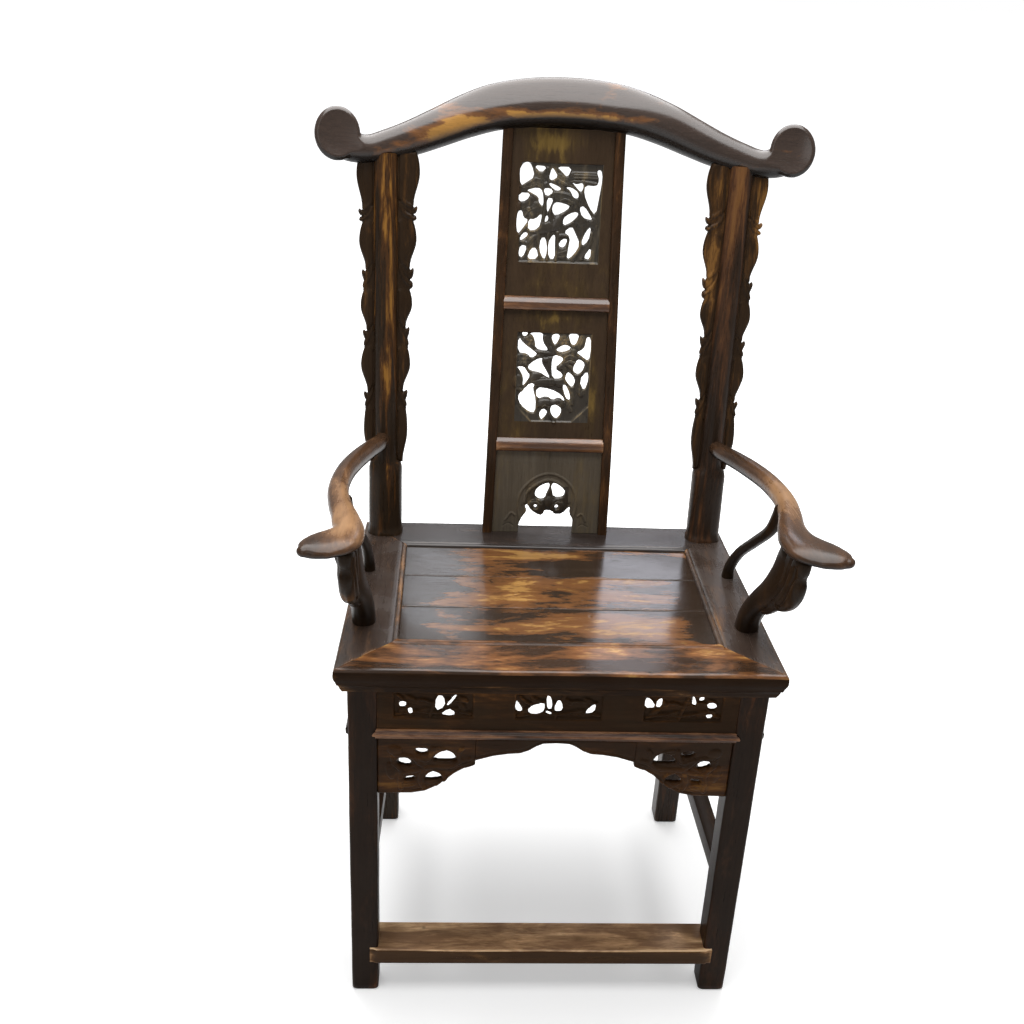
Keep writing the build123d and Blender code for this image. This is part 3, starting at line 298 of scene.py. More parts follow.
PANELS = lacquer("splat panel lacquer", "z", (66, 51, 37), (82, 65, 40), (120, 96, 50), rubbing=0.4, edge=0.1,
                 soft=0.11, streak=30.0, dust_tone=(78, 76, 66), shine=0.14, patch=0.9)
LOW_PANEL = lacquer("lower panel lacquer", "z", (98, 89, 76), (112, 97, 72), (126, 104, 68), rubbing=0.4,
                    edge=0.1, soft=0.11, streak=30.0, dust=0.2, dust_tone=(96, 93, 86), shine=0.16)
FRET = lacquer("fretwork lacquer", "z", (58, 51, 42), (90, 80, 63), (126, 106, 74), rubbing=0.38, edge=0.8,
               soft=0.09, dust=0.12, dust_tone=(70, 70, 62), shine=0.5, patch=1.3)
# the bars are darkened underneath: painted shade
BARS = lacquer("splat bar lacquer", "x", (84, 55, 36), (124, 82, 50), (160, 114, 74), rubbing=0.44, edge=0.5,
               gloss=0.22, shine=0.4, polish=0.9, dust=0.05, underside_shade=0.8)
ARM_POSTS = lacquer("arm post lacquer", "z", (38, 27, 17), (60, 41, 24), (106, 72, 38), rubbing=0.38, edge=0.1,
                    soft=0.11, gloss=0.32, dust=0.03)
# the crest is darkened strongly underneath: painted shade
CREST = lacquer("crest lacquer", "x", (60, 46, 38), (118, 76, 40), (182, 132, 62), rubbing=0.34, edge=0.15,
                gloss=0.27, patch=1.2, soft=0.05, streak=17.0, shine=0.3, polish=0.8, underside_shade=2.4, bump=1.6)
SEAT = lacquer("seat lacquer", "x", (50, 38, 29), (114, 75, 43), (164, 122, 66), rubbing=0.52, edge=0.0,
               gloss=0.18, patch=0.62, dust=0.05, soft=0.045, streak=24.0, shine=0.5, polish=0.35)
SEAT_RAIL = lacquer("front rail lacquer", "x", (58, 40, 27), (128, 83, 48), (178, 133, 74), rubbing=0.46,
                    edge=0.3, gloss=0.2, patch=0.8, dust=0.03, streak=28.0, shine=0.4, polish=0.2)
SIDE_RAIL = lacquer("side rail lacquer", "y", (62, 50, 43), (94, 69, 50), (140, 100, 60), rubbing=0.36,
                    edge=0.9, gloss=0.24, dust=0.5, dust_tone=(104, 98, 94), shine=0.5, soft=0.09)
BACK_RAIL = lacquer("back rail lacquer", "x", (50, 42, 38), (72, 56, 46), (110, 84, 58), rubbing=0.3, edge=0.5,
                    gloss=0.22, dust=0.35, dust_tone=(96, 94, 96), shine=0.5)
# the footrest top is real foot wear, made lighter still as painted light where the seat shades it
FOOT_TOP_WEAR_AND_PAINTED_LIGHT = lacquer("footrest top lacquer, worn and lightened as painted light", "x", (120, 90, 64), (178, 140, 102), (214, 178, 136), rubbing=0.47,
                    edge=2.4, dust=0.06, soft=0.09, shine=0.3)
# the footrest's front and underside faces take this darker copy: painted shade
FOOT_FRONT_PAINTED_SHADE = lacquer("footrest front and underside lacquer, painted shade", "x", (66, 45, 26), (94, 66, 38), (146, 110, 76), rubbing=0.38,
                     edge=1.0, gloss=0.32, dust=0.04)
# the arms are darkened strongly underneath: painted shade
ARM_WOOD = lacquer("hand-polished arm wood", "y", (54, 39, 28), (108, 74, 48), (156, 119, 84), rubbing=0.3,
                   edge=0.0, gloss=0.24, patch=0.6, dust=0.02, soft=0.22, streak=22.0, shine=0.3, polish=0.1,
                   knocked=0.1, underside_shade=2.0)
BARE_WOOD = lacquer("unfinished wood", "y", (96, 70, 46), (120, 88, 58), (138, 104, 70), rubbing=0.5, dust=0.3,
                    gloss=0.6, shine=0.3)

# places rubbed by hands, backs and feet, in mm: x, y, z, reach in x, y, z, how much
BIG = 400.0
RUBBED = {
    "crest_rail": [
        (-205, 200, 1094, 44, BIG, 16, 0.34), (-150, 215, 1124, 36, BIG, 24, 0.44),
        (-110, 215, 1128, 40, BIG, 10, 0.24), (-35, 222, 1140, 90, BIG, 7, 0.3),
        (75, 222, 1138, 60, BIG, 7, 0.26), (140, 212, 1112, 40, BIG, 8, 0.2), (242, 186, 1086, 26, BIG, 9, 0.3),
        (-240, 186, 1080, 34, BIG, 9, 0.4), (-300, 190, 1111, 26, BIG, 34, -0.1),
        (300, 190, 1111, 26, BIG, 34, -0.1), (60, 200, 1165, 140, BIG, 12, -0.12)],
    "rear_post_left": [
        (-236.5, 200, 1020, 11, BIG, 80, 0.36), (-235, 195, 900, 7, BIG, 60, 0.25),
        (-235, 190, 800, 6, BIG, 60, 0.2)],
    "rear_post_right": [
        (233, 205, 940, 10, BIG, 110, 0.26), (231, 190, 800, 9, BIG, 60, 0.12),
        (236, 205, 1060, 14, BIG, 50, 0.2)],
    "post_wing_inner_right": [(209, 200, 960, 18, BIG, 80, 0.3), (212, 200, 1060, 16, BIG, 40, 0.17)],
    "post_wing_outer_right": [(272, 200, 985, 18, BIG, 55, 0.34), (264, 200, 1060, 14, BIG, 40, 0.2)],
    "post_wing_inner_left": [(-213, 200, 1040, 6, BIG, 45, 0.16), (-205, 200, 990, 6, BIG, 20, 0.14)],
    "post_wing_outer_left": [(-266, 200, 980, 6, BIG, 60, 0.1)],
    "splat_stile_left": [(-88, BIG, 1080, BIG, BIG, 60, 0.08), (-86, 0, 960, BIG, BIG, 90, 0.1)],
    "splat_top_panel": [
        (-14, 230, 1102, 20, BIG, 12, 0.3), (30, 230, 1104, 12, BIG, 10, 0.16), (0, 230, 915, 50, BIG, 8, 0.1)],
    "splat_middle_panel": [(-5, 205, 868, 40, BIG, 8, 0.2), (58, 200, 780, 6, BIG, 60, 0.12)],
    "splat_stile_right": [(80, 180, 620, BIG, BIG, 30, 0.18)],
    "seat_board_rear": [
        (-10, 105, 545, 90, 14, 30, 0.18), (160, 60, 545, 60, 60, 30, -0.2),
        (-190, 60, 545, 50, BIG, 30, -0.26)],
    "seat_board_middle": [
        (-20, 0, 545, 120, 40, 30, 0.1), (-190, 20, 545, 35, BIG, 30, -0.24),
        (205, 20, 545, 30, BIG, 30, -0.2)],
    "seat_board_front": [
        (-90, -100, 545, 90, 12, 30, 0.18), (40, -80, 545, 90, 30, 30, 0.04),
        (-190, -70, 545, 30, BIG, 30, -0.2), (90, -118, 545, 80, 9, 30, -0.14),
        (205, -70, 545, 30, BIG, 30, -0.2)],
    "seat_rail_front": [
        (-150, -165, 548, 70, 22, 12, 0.16), (-30, -165, 548, 40, 18, 12, -0.14),
        (40, -150, 548, 40, 10, 12, 0.14), (205, -160, 548, 40, 20, 12, 0.14)],
    "seat_rail_left": [(-225, 60, 548, 20, 20, 12, 0.1), (-240, 130, 548, 14, 14, 12, 0.1)],
    "seat_rail_right": [(232, 70, 548, 10, 20, 12, 0.16)],
    "arm_left": [
        (-275, -80, 715, BIG, 80, BIG, 0.26), (-268, -195, 740, BIG, 70, BIG, 0.44),
        (-296, -258, 741, 24, 24, BIG, -0.16)],
    "arm_right": [
        (279, -85, 722, BIG, 105, BIG, 0.46), (272, 70, 705, 10, 40, BIG, 0.16),
        (270, -245, 745, BIG, 34, BIG, 0.06)],
    "arm_front_wing_left": [(-262, -236, 664, 20, 16, 18, 0.3)],
    "apron_front_bracket_left": [(-212, -180, 358, 20, BIG, 12, 0.2), (-150, -180, 404, 40, BIG, 10, 0.08)],
    "apron_front_bracket_right": [(205, -180, 356, 22, BIG, 10, 0.2)],
    "apron_front_centre": [(60, -180, 415, 30, BIG, 8, 0.12)],
    "footrest": [(-40, -150, 81, 120, 26, 14, 0.12)],
}


# ---------------------------------------------------------------- mesh tools
def set_out(name, data):
    """New object, placed in the scene."""
    thing = bpy.data.objects.new(name, data)
    bpy.context.scene.collection.objects.link(thing)
    return thing


def shaped_mesh(rough):
    """Mesh of an object after its modifiers."""
    bpy.context.view_layer.update()
    return bpy.data.meshes.new_from_object(rough.evaluated_get(bpy.context.evaluated_depsgraph_get()))


def mesh_of(name, points, faces):
    mesh = bpy.data.meshes.new(name)
    mesh.from_pydata([(x * MM, y * MM, z * MM) for x, y, z in points], [], faces)
    return mesh


def finish_piece(node, ending, shape, material, crease):
    """Turns a mesh, or points and faces in mm, into the finished piece that stands for one CAD node."""
    mesh = shape if isinstance(shape, bpy.types.Mesh) else mesh_of(node, *shape)
    tidy = bmesh.new()
    tidy.from_mesh(mesh)
    bmesh.ops.remove_doubles(tidy, verts=tidy.verts, dist=2e-6)
    bmesh.ops.recalc_face_normals(tidy, faces=tidy.faces)
    limit = math.radians(crease)
    for edge in tidy.edges:
        edge.smooth = len(edge.link_faces) == 2 and edge.calc_face_angle(0.0) < limit
    for face in tidy.faces:
        face.smooth = True
    tidy.to_mesh(mesh)
    tidy.free()
    mark_wear_and_shade(mesh, node)
    mesh.materials.clear()
    mesh.materials.append(material)
    piece = set_out(node + "_" + ending, mesh)
    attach(piece, "root")
    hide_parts(node)
    return piece


def finish_pair(stem, ending, shell, material, crease):
    """The right piece and its mirror image on the left."""
    finish_piece(stem + "_right", ending, shell, material, crease)
    finish_piece(stem + "_left", ending, mirrored(shell), material, crease)


def second_finish(piece, material, chosen):
    """Gives another finish to the faces picked by chosen(centre, normal)."""
    piece.data.materials.append(material)
    for face in piece.data.polygons:
        if chosen(face.center, face.normal):
            face.material_index = 1


def rows_of(items, key, across, kind=float):
    """One value of every point or edge, as rows of numbers."""
    flat = np.empty(len(items) * across, dtype=kind)
    items.foreach_get(key, flat)
    return flat.reshape(-1, across)


def keep(mesh, name, values):
    store = mesh.attributes.new(name, "FLOAT", "POINT")
    store.data.foreach_set("value", values.astype(np.float32))


# slope away from a point's normal, averaged over its edges: where a mark begins, and over what span it fills
PROUD_FROM, PROUD_SPAN, HOLLOW_FROM, HOLLOW_SPAN = 0.04, 0.20, 0.03, 0.18


def mark_wear_and_shade(mesh, node):
    """Stores how proud or hollow each point is, how far it looks down for the painted shade below, and where hands
    rubbed it.
    """
    count = len(mesh.vertices)
    spots, normals = rows_of(mesh.vertices, "co", 3), rows_of(mesh.vertices, "normal", 3)
    a, b = rows_of(mesh.edges, "vertices", 2, np.int64).T
    way = spots[b] - spots[a]
    way /= np.maximum(np.linalg.norm(way, axis=1), 1e-9)[:, None]
    near = np.maximum(np.bincount(a, minlength=count) + np.bincount(b, minlength=count), 1)
    drop = np.bincount(a, (way * normals[a]).sum(1), count) - np.bincount(b, (way * normals[b]).sum(1), count)
    proud = -drop / near
    raised = np.clip((proud - PROUD_FROM) / PROUD_SPAN, 0, 1)
    sunk = np.clip((-proud - HOLLOW_FROM) / HOLLOW_SPAN, 0, 1)
    for values, name in ((raised, "worn_edge"), (sunk, "hollow")):
        for _ in range(3):  # each round spreads the mark to the neighbours and fades it
            around = np.bincount(a, values[b], count) + np.bincount(b, values[a], count)
            values = np.maximum(values * 0.85, 0.4 * values + 0.6 * around / near)
        keep(mesh, name, values)
    # how far each point looks down, used for painted shade below and to take the coat off there
    keep(mesh, "under", np.clip((-normals[:, 2] - 0.05) / 0.8, 0, 1))
    rubbed = np.zeros(count)
    for row in RUBBED.get(node, ()):
        far = ((spots / MM - row[:3]) / row[3:6]) ** 2
        rubbed += row[6] * np.exp(-far.sum(1))
    keep(mesh, "rubbed", rubbed)


def mirrored(shell):
    points, faces = shell
    return [(-x, y, z) for x, y, z in points], [tuple(reversed(f)) for f in faces]


def through(points, steps):
    """Smooth line through rows of numbers, with the steps between each pair."""
    rows = np.array(points, dtype=float)
    padded = np.vstack([2 * rows[0] - rows[1], rows, 2 * rows[-1] - rows[-2]])
    out = []
    for i in range(len(rows) - 1):
        p0, p1, p2, p3 = padded[i:i + 4]
        for t in np.arange(steps) / steps:
            out.append(0.5 * (2 * p1 + (p2 - p0) * t + (2 * p0 - 5 * p1 + 4 * p2 - p3) * t * t
                              + (3 * p1 - p0 - 3 * p2 + p3) * t ** 3))
    out.append(rows[-1])
    return np.array(out)


def loft(rings):
    """Skin over closed rings of equal length, each end closed by a fan of triangles."""
    around = len(rings[0])
    points = [tuple(p) for ring in rings for p in ring]
    faces = []
    for i in range(len(rings) - 1):
        for k in range(around):
            m = (k + 1) % around
            faces.append((i * around + k, i * around + m, (i + 1) * around + m, (i + 1) * around + k))
    for ring, base in ((rings[0], 0), (rings[-1], (len(rings) - 1) * around)):
        centre = len(points)
        points.append(tuple(np.mean(ring, axis=0)))
        for k in range(around):
            m = (k + 1) % around
            faces.append((base + k, base + m, centre) if base else (base + m, base + k, centre))
    return points, faces


def limb(path, steps, around, across, power=2.0, section=None):
    """Carved limb along (x, y, z, half width, half height), with oval to squarish sections and domed ends."""
    rows = through(path, steps)
    along = np.gradient(rows[:, :3], axis=0)
    along /= np.linalg.norm(along, axis=1)[:, None]
    rings = []
    turns = np.linspace(0, 2 * math.pi, around, endpoint=False)
    cs, sn = np.cos(turns), np.sin(turns)
    flat = np.sign(cs) * np.abs(cs) ** (2 / power)
    tall = np.sign(sn) * np.abs(sn) ** (2 / power)
    for row, way in zip(rows, along):
        if section:
            flat, tall = section(row[0]).T
        side = np.cross(way, across)
        side /= np.linalg.norm(side)
        up = np.cross(side, way)
        rings.append(row[:3] + np.outer(flat, side * row[3]) + np.outer(tall, up * row[4]))
    for which in (0, -1):
        ring, row = rings[which], rows[which]
        way = along[which] * (-1 if which == 0 else 1)
        reach = min(row[3], row[4])
        extra = [row[:3] + (ring - row[:3]) * math.cos(t) + way * reach * math.sin(t)
                 for t in np.linspace(0, math.pi / 2, 9)[1:-1]]
        rings = list(reversed(extra)) + rings if which == 0 else rings + extra
    return loft(rings)


def ball(place, radii):
    """Ellipsoid about the origin, moved by the matrix place."""
    rows, around = 40, 60
    turns = np.linspace(0, 2 * math.pi, around, endpoint=False)
    rings = []
    for lat in np.linspace(-math.pi / 2, math.pi / 2, rows)[1:-1]:
        rings.append([(radii[0] * math.cos(lat) * math.cos(t), radii[1] * math.cos(lat) * math.sin(t),
                       radii[2] * math.sin(lat)) for t in turns])
    points, faces = loft(rings)
    points[-2:] = (0, 0, -radii[2]), (0, 0, radii[2])
    return [tuple(place @ Vector(p)) for p in points], faces


def fused(name, shells, voxel, rounds):
    """Melts overlapping shells into one skin and smooths the joins."""
    points, faces = [], []
    for shell_points, shell_faces in shells:
        start = len(points)
        points += shell_points
        faces += [tuple(start + i for i in face) for face in shell_faces]
    rough = set_out(name + " rough", mesh_of(name, points, faces))
    melt = rough.modifiers.new("melt", "REMESH")
    melt.mode = "VOXEL"
    melt.voxel_size = voxel * MM
    ease = rough.modifiers.new("ease", "SMOOTH")
    ease.factor = 0.5
    ease.iterations = rounds
    mesh = shaped_mesh(rough)
    bpy.data.objects.remove(rough)
    return mesh


ARRIS, ARRIS_ANGLE, SLICE = 1.3, 32, 14.0


def softened(node):
    """Copy of a CAD node with rounded arrises, cut into slices so that each has points to carry wear."""
    copy = bmesh.new()
    copy.from_mesh(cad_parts[node].data)
    bmesh.ops.remove_doubles(copy, verts=copy.verts, dist=1e-5)
    bmesh.ops.dissolve_limit(copy, angle_limit=math.radians(1.5), verts=copy.verts, edges=copy.edges)
    rough = set_out(node + " rough", bpy.data.meshes.new(node))
    copy.to_mesh(rough.data)
    copy.free()
    bevel = rough.modifiers.new("arris", "BEVEL")
    bevel.width = ARRIS * MM
    bevel.segments = 3
    bevel.limit_method = "ANGLE"
    bevel.angle_limit = math.radians(ARRIS_ANGLE)
    mesh = shaped_mesh(rough)
    bpy.data.objects.remove(rough)
    low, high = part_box(node)
    work = bmesh.new()
    work.from_mesh(mesh)
    for axis in range(3):
        span = high[axis] - low[axis]
        pieces = max(int(span / (SLICE * MM)), 2)
        for i in range(1, pieces):
            spot, way = [0, 0, 0], [0, 0, 0]
            spot[axis], way[axis] = low[axis] + span * i / pieces, 1
            bmesh.ops.bisect_plane(work, geom=work.verts[:] + work.edges[:] + work.faces[:], plane_co=spot,
                                   plane_no=way, dist=1e-6)
    bmesh.ops.triangulate(work, faces=[f for f in work.faces if len(f.verts) > 4])
    work.to_mesh(mesh)
    work.free()
    return mesh


# ---------------------------------------------------------------- carving
def rounded_line(points, times, closed=True):
    """Cuts the corners of a drawn line until it flows."""
    for _ in range(times):
        out = []
        count = len(points)
        for i in range(count if closed else count - 1):
            (ax, az), (bx, bz) = points[i], points[(i + 1) % count]
            out += [(ax * 0.75 + bx * 0.25, az * 0.75 + bz * 0.25), (ax * 0.25 + bx * 0.75, az * 0.25 + bz * 0.75)]
        points = out if closed else [points[0]] + out + [points[-1]]
    return points


def measure_line(px, pz, line, closed, reach):
    """Distance from each point to a line and the nearest point on it, and which side of a closed one it is."""
    far = np.full(px.shape, 1e6)
    nx, nz = np.zeros(px.shape), np.zeros(px.shape)
    within = np.zeros(px.shape, dtype=bool)
    xs = [p[0] for p in line]
    zs = [p[1] for p in line]
    near = (px > min(xs) - reach) & (px < max(xs) + reach) & (pz > min(zs) - reach) & (pz < max(zs) + reach)
    x, z = px[near], pz[near]
    best = np.full(x.shape, 1e6)
    bx, bz = np.zeros(x.shape), np.zeros(x.shape)
    crossing = np.zeros(x.shape, dtype=bool)
    count = len(line)
    for i in range(count if closed else count - 1):
        (ax, az), (cx, cz) = line[i], line[(i + 1) % count]
        dx, dz = cx - ax, cz - az
        t = np.clip(((x - ax) * dx + (z - az) * dz) / max(dx * dx + dz * dz, 1e-9), 0, 1)
        qx, qz = ax + t * dx, az + t * dz
        gap = np.hypot(x - qx, z - qz)
        closer = gap < best
        best[closer], bx[closer], bz[closer] = gap[closer], qx[closer], qz[closer]
        if closed and abs(dz) > 1e-12:
            crossing ^= ((az > z) != (cz > z)) & (x < ax + (z - az) * dx / dz)
    far[near], nx[near], nz[near], within[near] = best, bx, bz, crossing
    return far, nx, nz, within


def relief_of(px, pz, strokes):
    """Height of the drawn carving over the plain face. A stroke is (kind, points, width, height)."""
    raised = np.zeros(px.shape)
    cut = np.zeros(px.shape)
    for kind, points, width, height in strokes:
        if kind == "dome":
            (cx, cz, turn), (a, b) = points, width
            c, s = math.cos(math.radians(turn)), math.sin(math.radians(turn))
            u = ((px - cx) * c + (pz - cz) * s) / a
            v = (-(px - cx) * s + (pz - cz) * c) / b
            raised = np.maximum(raised, height * np.sqrt(np.clip(1 - u * u - v * v, 0, 1)))
            continue
        line = rounded_line(points, 2, False) if len(points) > 2 else points
        far = measure_line(px, pz, line, False, width + 1)[0]
        if kind == "ridge":
            raised = np.maximum(raised, height * np.sqrt(np.clip(1 - (far / width) ** 2, 0, 1)))
        else:
            cut = np.maximum(cut, height * np.clip(1 - (far / width) ** 2, 0, 1) ** 1.5)
    return raised - cut


LEAST_THICK = 1.2


def rounding(gap, radius):
    """How far a face falls off at this distance from a rounded edge."""
    if radius <= 0:
        return np.zeros(gap.shape)
    return radius - np.sqrt(np.clip(radius ** 2 - np.clip(radius - gap, 0, radius) ** 2, 0, None))


def carved_board(outline, openings, strokes, pitch, place, thick, round_over=2.2, round_rim=0.0, relief_at=None,
                 back_round=None, both=False, back_at=None):
    """Pierced and carved board, on a grid of this pitch that is pulled to the drawn lines.

    place(x, z, off) puts a point off mm in front of the middle. round_over is the rounding at the openings,
    round_rim that of the outline. relief_at and back_at add to the front and the back; both carves the back too.
    """
    xs, zs = [p[0] for p in outline], [p[1] for p in outline]
    nx = int((max(xs) - min(xs)) / pitch) + 3
    nz = int((max(zs) - min(zs)) / pitch) + 3
    gx = min(xs) - pitch + np.arange(nx + 1) * pitch
    gz = min(zs) - pitch + np.arange(nz + 1) * pitch
    X, Z = np.meshgrid(gx, gz, indexing="ij")
    CX, CZ = X[:-1, :-1] + pitch / 2, Z[:-1, :-1] + pitch / 2
    lines = [rounded_line(h, 1) for h in openings]
    solid = measure_line(CX, CZ, outline, True, 2 * pitch)[3]
    for line in lines:
        solid &= ~measure_line(CX, CZ, line, True, 2 * pitch)[3]
    for _ in range(4):  # fills cells that would touch at one corner only
        a, b, c, d = solid[:-1, :-1], solid[1:, :-1], solid[:-1, 1:], solid[1:, 1:]
        kiss = (a & d & ~b & ~c) | (b & c & ~a & ~d)
        if not kiss.any():
            break
        for quarter in (a, b, c, d):
            quarter |= kiss
    rim, rx, rz, _ = measure_line(X, Z, outline, True, 40)
    edge, ex, ez = np.full(X.shape, 1e6), np.zeros(X.shape), np.zeros(X.shape)
    for line in lines:
        gap, qx, qz, _ = measure_line(X, Z, line, True, 12)
        closer = gap < edge
        edge[closer], ex[closer], ez[closer] = gap[closer], qx[closer], qz[closer]
    touch = np.zeros(X.shape, dtype=int)
    for dx in (0, 1):
        for dz in (0, 1):
            touch[dx:nx + dx, dz:nz + dz] += solid
    border = (touch > 0) & (touch < 4)
    snap = pitch * 1.2
    to_edge = border & (edge < rim) & (edge < snap)
    to_rim = border & (rim <= edge) & (rim < snap)
    PX, PZ = X.copy(), Z.copy()
    PX[to_edge], PZ[to_edge] = ex[to_edge], ez[to_edge]
    PX[to_rim], PZ[to_rim] = rx[to_rim], rz[to_rim]
    edge[to_edge] = 0
    rim[to_rim] = 0
    carving = relief_of(PX, PZ, strokes)
    if relief_at:
        carving = carving + relief_at(PX, PZ, rim)
    front = thick / 2 - np.maximum(rounding(edge, round_over), rounding(rim, round_rim)) + carving
    soft_back = back_round or round_over
    back = -thick / 2 + np.maximum(rounding(edge, soft_back), rounding(rim, round_rim))
    if both:
        back = back - carving
    if back_at:
        back = back + back_at(PX, PZ)
    front = np.maximum(front, back + LEAST_THICK)
    ids = -np.ones(X.shape, dtype=int)
    used = touch > 0
    count = int(used.sum())
    ids[used] = np.arange(count)
    points = [place(*p) for face in (front, back) for p in zip(PX[used], PZ[used], face[used])]
    faces = []
    for i, k in zip(*np.nonzero(solid)):
        a, b, c, d = ids[i, k], ids[i + 1, k], ids[i + 1, k + 1], ids[i, k + 1]
        faces.append((a, b, c, d))
        faces.append((a + count, d + count, c + count, b + count))
        for p, q, other in ((a, b, (i, k - 1)), (b, c, (i + 1, k)), (c, d, (i, k + 1)), (d, a, (i - 1, k))):
            inside = 0 <= other[0] < nx and 0 <= other[1] < nz and solid[other]
            if not inside:
                faces.append((q, p, p + count, q + count))
    return points, faces


def dots(row):
    """Points from a flat row x, z, x, z ..."""
    return list(zip(row[::2], row[1::2]))


def flipped(line):
    return [(-x, z) for x, z in line]


def raised_by(line, lift):
    return [(x, z + lift) for x, z in line]


def drawn(kind, *rows):
    """Ridges or cuts from rows: width, height, then x, z, x, z ..."""
    return [(kind, dots(row[2:]), row[0], row[1]) for row in rows]


def domes(*rows):
    """Mounds from rows: x, z, turn in degrees, half length, half width, height."""
    return [("dome", row[:3], row[3:5], row[5]) for row in rows]


def leaves(*rows, height=1.6):
    """Pointed leaves with a middle vein and side veins, from rows: x, z, length, turn in degrees."""
    out = []
    for x, z, length, turn in rows:
        c, s = math.cos(math.radians(turn)), math.sin(math.radians(turn))
        at = lambda u, v: (x + u * c - v * s, z + u * s + v * c)
        half = length / 2
        out += [("dome", (x, z, turn), (half * 1.05, half * 0.5), height),
                ("cut", [at(-half, 0), at(half * 0.9, 0)], 0.9, 0.9)]
        for u in (-0.45, 0.0, 0.4):
            for side in (-1, 1):
                out.append(("cut", [at(u * half, 0), at((u + 0.35) * half, side * half * 0.42)], 0.7, 0.5))
    return out


def blossoms(*rows):
    """Open flowers seen from the front, from rows: x, z, radius."""
    petals, height, middle = 5, 1.8, 0.9
    out = []
    for x, z, radius in rows:
        for k in range(petals):
            t = math.radians(90 + 360 / petals * k)
            cx, cz = x + radius * 0.6 * math.cos(t), z + radius * 0.6 * math.sin(t)
            out.append(("dome", (cx, cz, math.degrees(t)), (radius * 0.46, radius * 0.42), height))
            out.append(("cut", [(x, z), (cx, cz)], 0.7, 0.7))
        out.append(("dome", (x, z, 0), (radius * 0.24, radius * 0.24), height + middle))
    return out


# ---------------------------------------------------------------- crest rail
CREST_PATH = [
    (0.0, CREST_Y, CREST_Z, 25, 32), (48.0, CREST_Y - 1, CREST_Z - 2, 25, 31.5),
    (92.0, CREST_Y - 6, CREST_Z - 8, 24.5, 30), (132.0, CREST_Y - 13, CREST_Z - 20, 23.5, 28),
    (170.0, CREST_Y - 22, CREST_Z - 35, 22, 25.5), (204.0, CREST_Y - 31, CREST_Z - 48, 20.5, 23),
    (236.0, CREST_Y - 38, CREST_Z - 57, 19, 20), (262.0, CREST_Y - 45, CREST_Z - 62, 18, 18),
    (284.0, CREST_Y - 51, CREST_Z - 58, 15, 20.5), (303.0, CREST_Y - 56, CREST_Z - 43, 11, 25),
]

# (forward, up) as shares of the half width and half height: the upper front slopes back, the belly is low
CREST_SECTION = [(1.0, -0.14), (0.92, 0.10), (0.69, 0.38), (0.41, 0.66), (0.11, 0.88), (-0.24, 1.0),
                 (-0.60, 0.90), (-0.88, 0.58), (-1.0, 0.15), (-0.96, -0.30), (-0.78, -0.68), (-0.42, -0.93),
                 (0.0, -1.0), (0.45, -0.92), (0.80, -0.69), (0.97, -0.41), (1.0, -0.14)]

EAR_HALF = (30.0, 11.5, 34.5)
EAR_TURN = Matrix.Rotation(math.radians(-14), 4, "X") @ Matrix.Rotation(math.radians(-8), 4, "Z")
EAR_PLACE = Matrix.Translation((300.5, CREST_Y - 57, CREST_Z - 42)) @ EAR_TURN


def crest_section(x):
    """Sloping section in the middle of the crest rail, turning oval towards the posts."""
    sloped = through(CREST_SECTION, 4)[:-1]
    turns = np.linspace(0, 2 * math.pi, len(sloped), endpoint=False)
    begin, span = (85.0, 120.0) if x < 0 else (55.0, 100.0)
    share = eased((abs(x) - begin) / span)
    return sloped * (1 - share) + np.stack([np.cos(turns), np.sin(turns)], 1) * share


def dished(mesh):
    """Presses a shallow dish into the front of each upturned end; it runs out softly towards the bar."""
    face, deep, limit = -7.5, 4.5, 1.45
    into = EAR_PLACE.inverted()
    back = into.inverted()
    for point in mesh.vertices:
        side = 1 if point.co.x > 0 else -1
        x, y, z = into @ Vector((side * point.co.x / MM, point.co.y / MM, point.co.z / MM))
        far = math.hypot(x / (EAR_HALF[0] if x > 0 else 40.0), z / EAR_HALF[2])
        dish = face + deep * max(0.0, 1 - far ** 2)
        if far < limit and y < dish:
            px, py, pz = back @ Vector((x, y + (dish - y) * eased((limit - far) / 0.65), z))
            point.co = (side * px * MM, py * MM, pz * MM)
    return mesh


def crest_rail():
    path = [(-x, y, z, w, h) for x, y, z, w, h in reversed(CREST_PATH[1:])] + CREST_PATH
    ear = ball(EAR_PLACE, EAR_HALF)
    shells = [limb(path, 10, 48, (0, 0, 1), section=crest_section), ear, mirrored(ear)]
    mesh = dished(fused("crest_rail", shells, 1.8, 6))
    finish_piece("crest_rail", "carved", mesh, CREST, 60)


# ---------------------------------------------------------------- arms
ARM_PLAN = [
    (POST_X + 3, 176.0, 11, 11), (246, 150, 11.5, 11.5), (259, 112, 12.5, 12), (271, 68, 13, 12.5),
    (280, 20, 13, 12.5), (283.5, -30, 13, 12.5), (282, -75, 13.5, 12.5), (275, -120, 14.5, 12),
    (265, -165, 17, 11.5), (262, -203, 23, 11), (270, -234, 30, 10), (283, -251.5, 27, 9.2), (292, -260, 22, 8.4),
    (299, -266.3, 15.5, 7.4), (302.6, -269.4, 8, 6),
]


def arm_z(y):
    return 694.0 + (160.0 - y) * 0.112


def arms():
    """Arms with paddle ends; the left one is a little slimmer inside, at its waist."""
    path = [(x, y, arm_z(y), w, h) for x, y, w, h in ARM_PLAN]
    right = limb(path, 12, 44, (0, 0, 1), 2.15)
    points, faces = mirrored(right)
    points = np.array(points)
    inward = 9.0 * np.exp(-((points[:, 1] + 207.0) / 22.0) ** 2)
    points[:, 0] += inward * np.clip((-points[:, 0] - 262.0) / 20.0, 0.0, 1.0)
    for name, shell in (("arm_right", right), ("arm_left", (points.tolist(), faces))):
        finish_piece(name, "polished", fused(name, [shell], 1.5, 4), ARM_WOOD, 60)


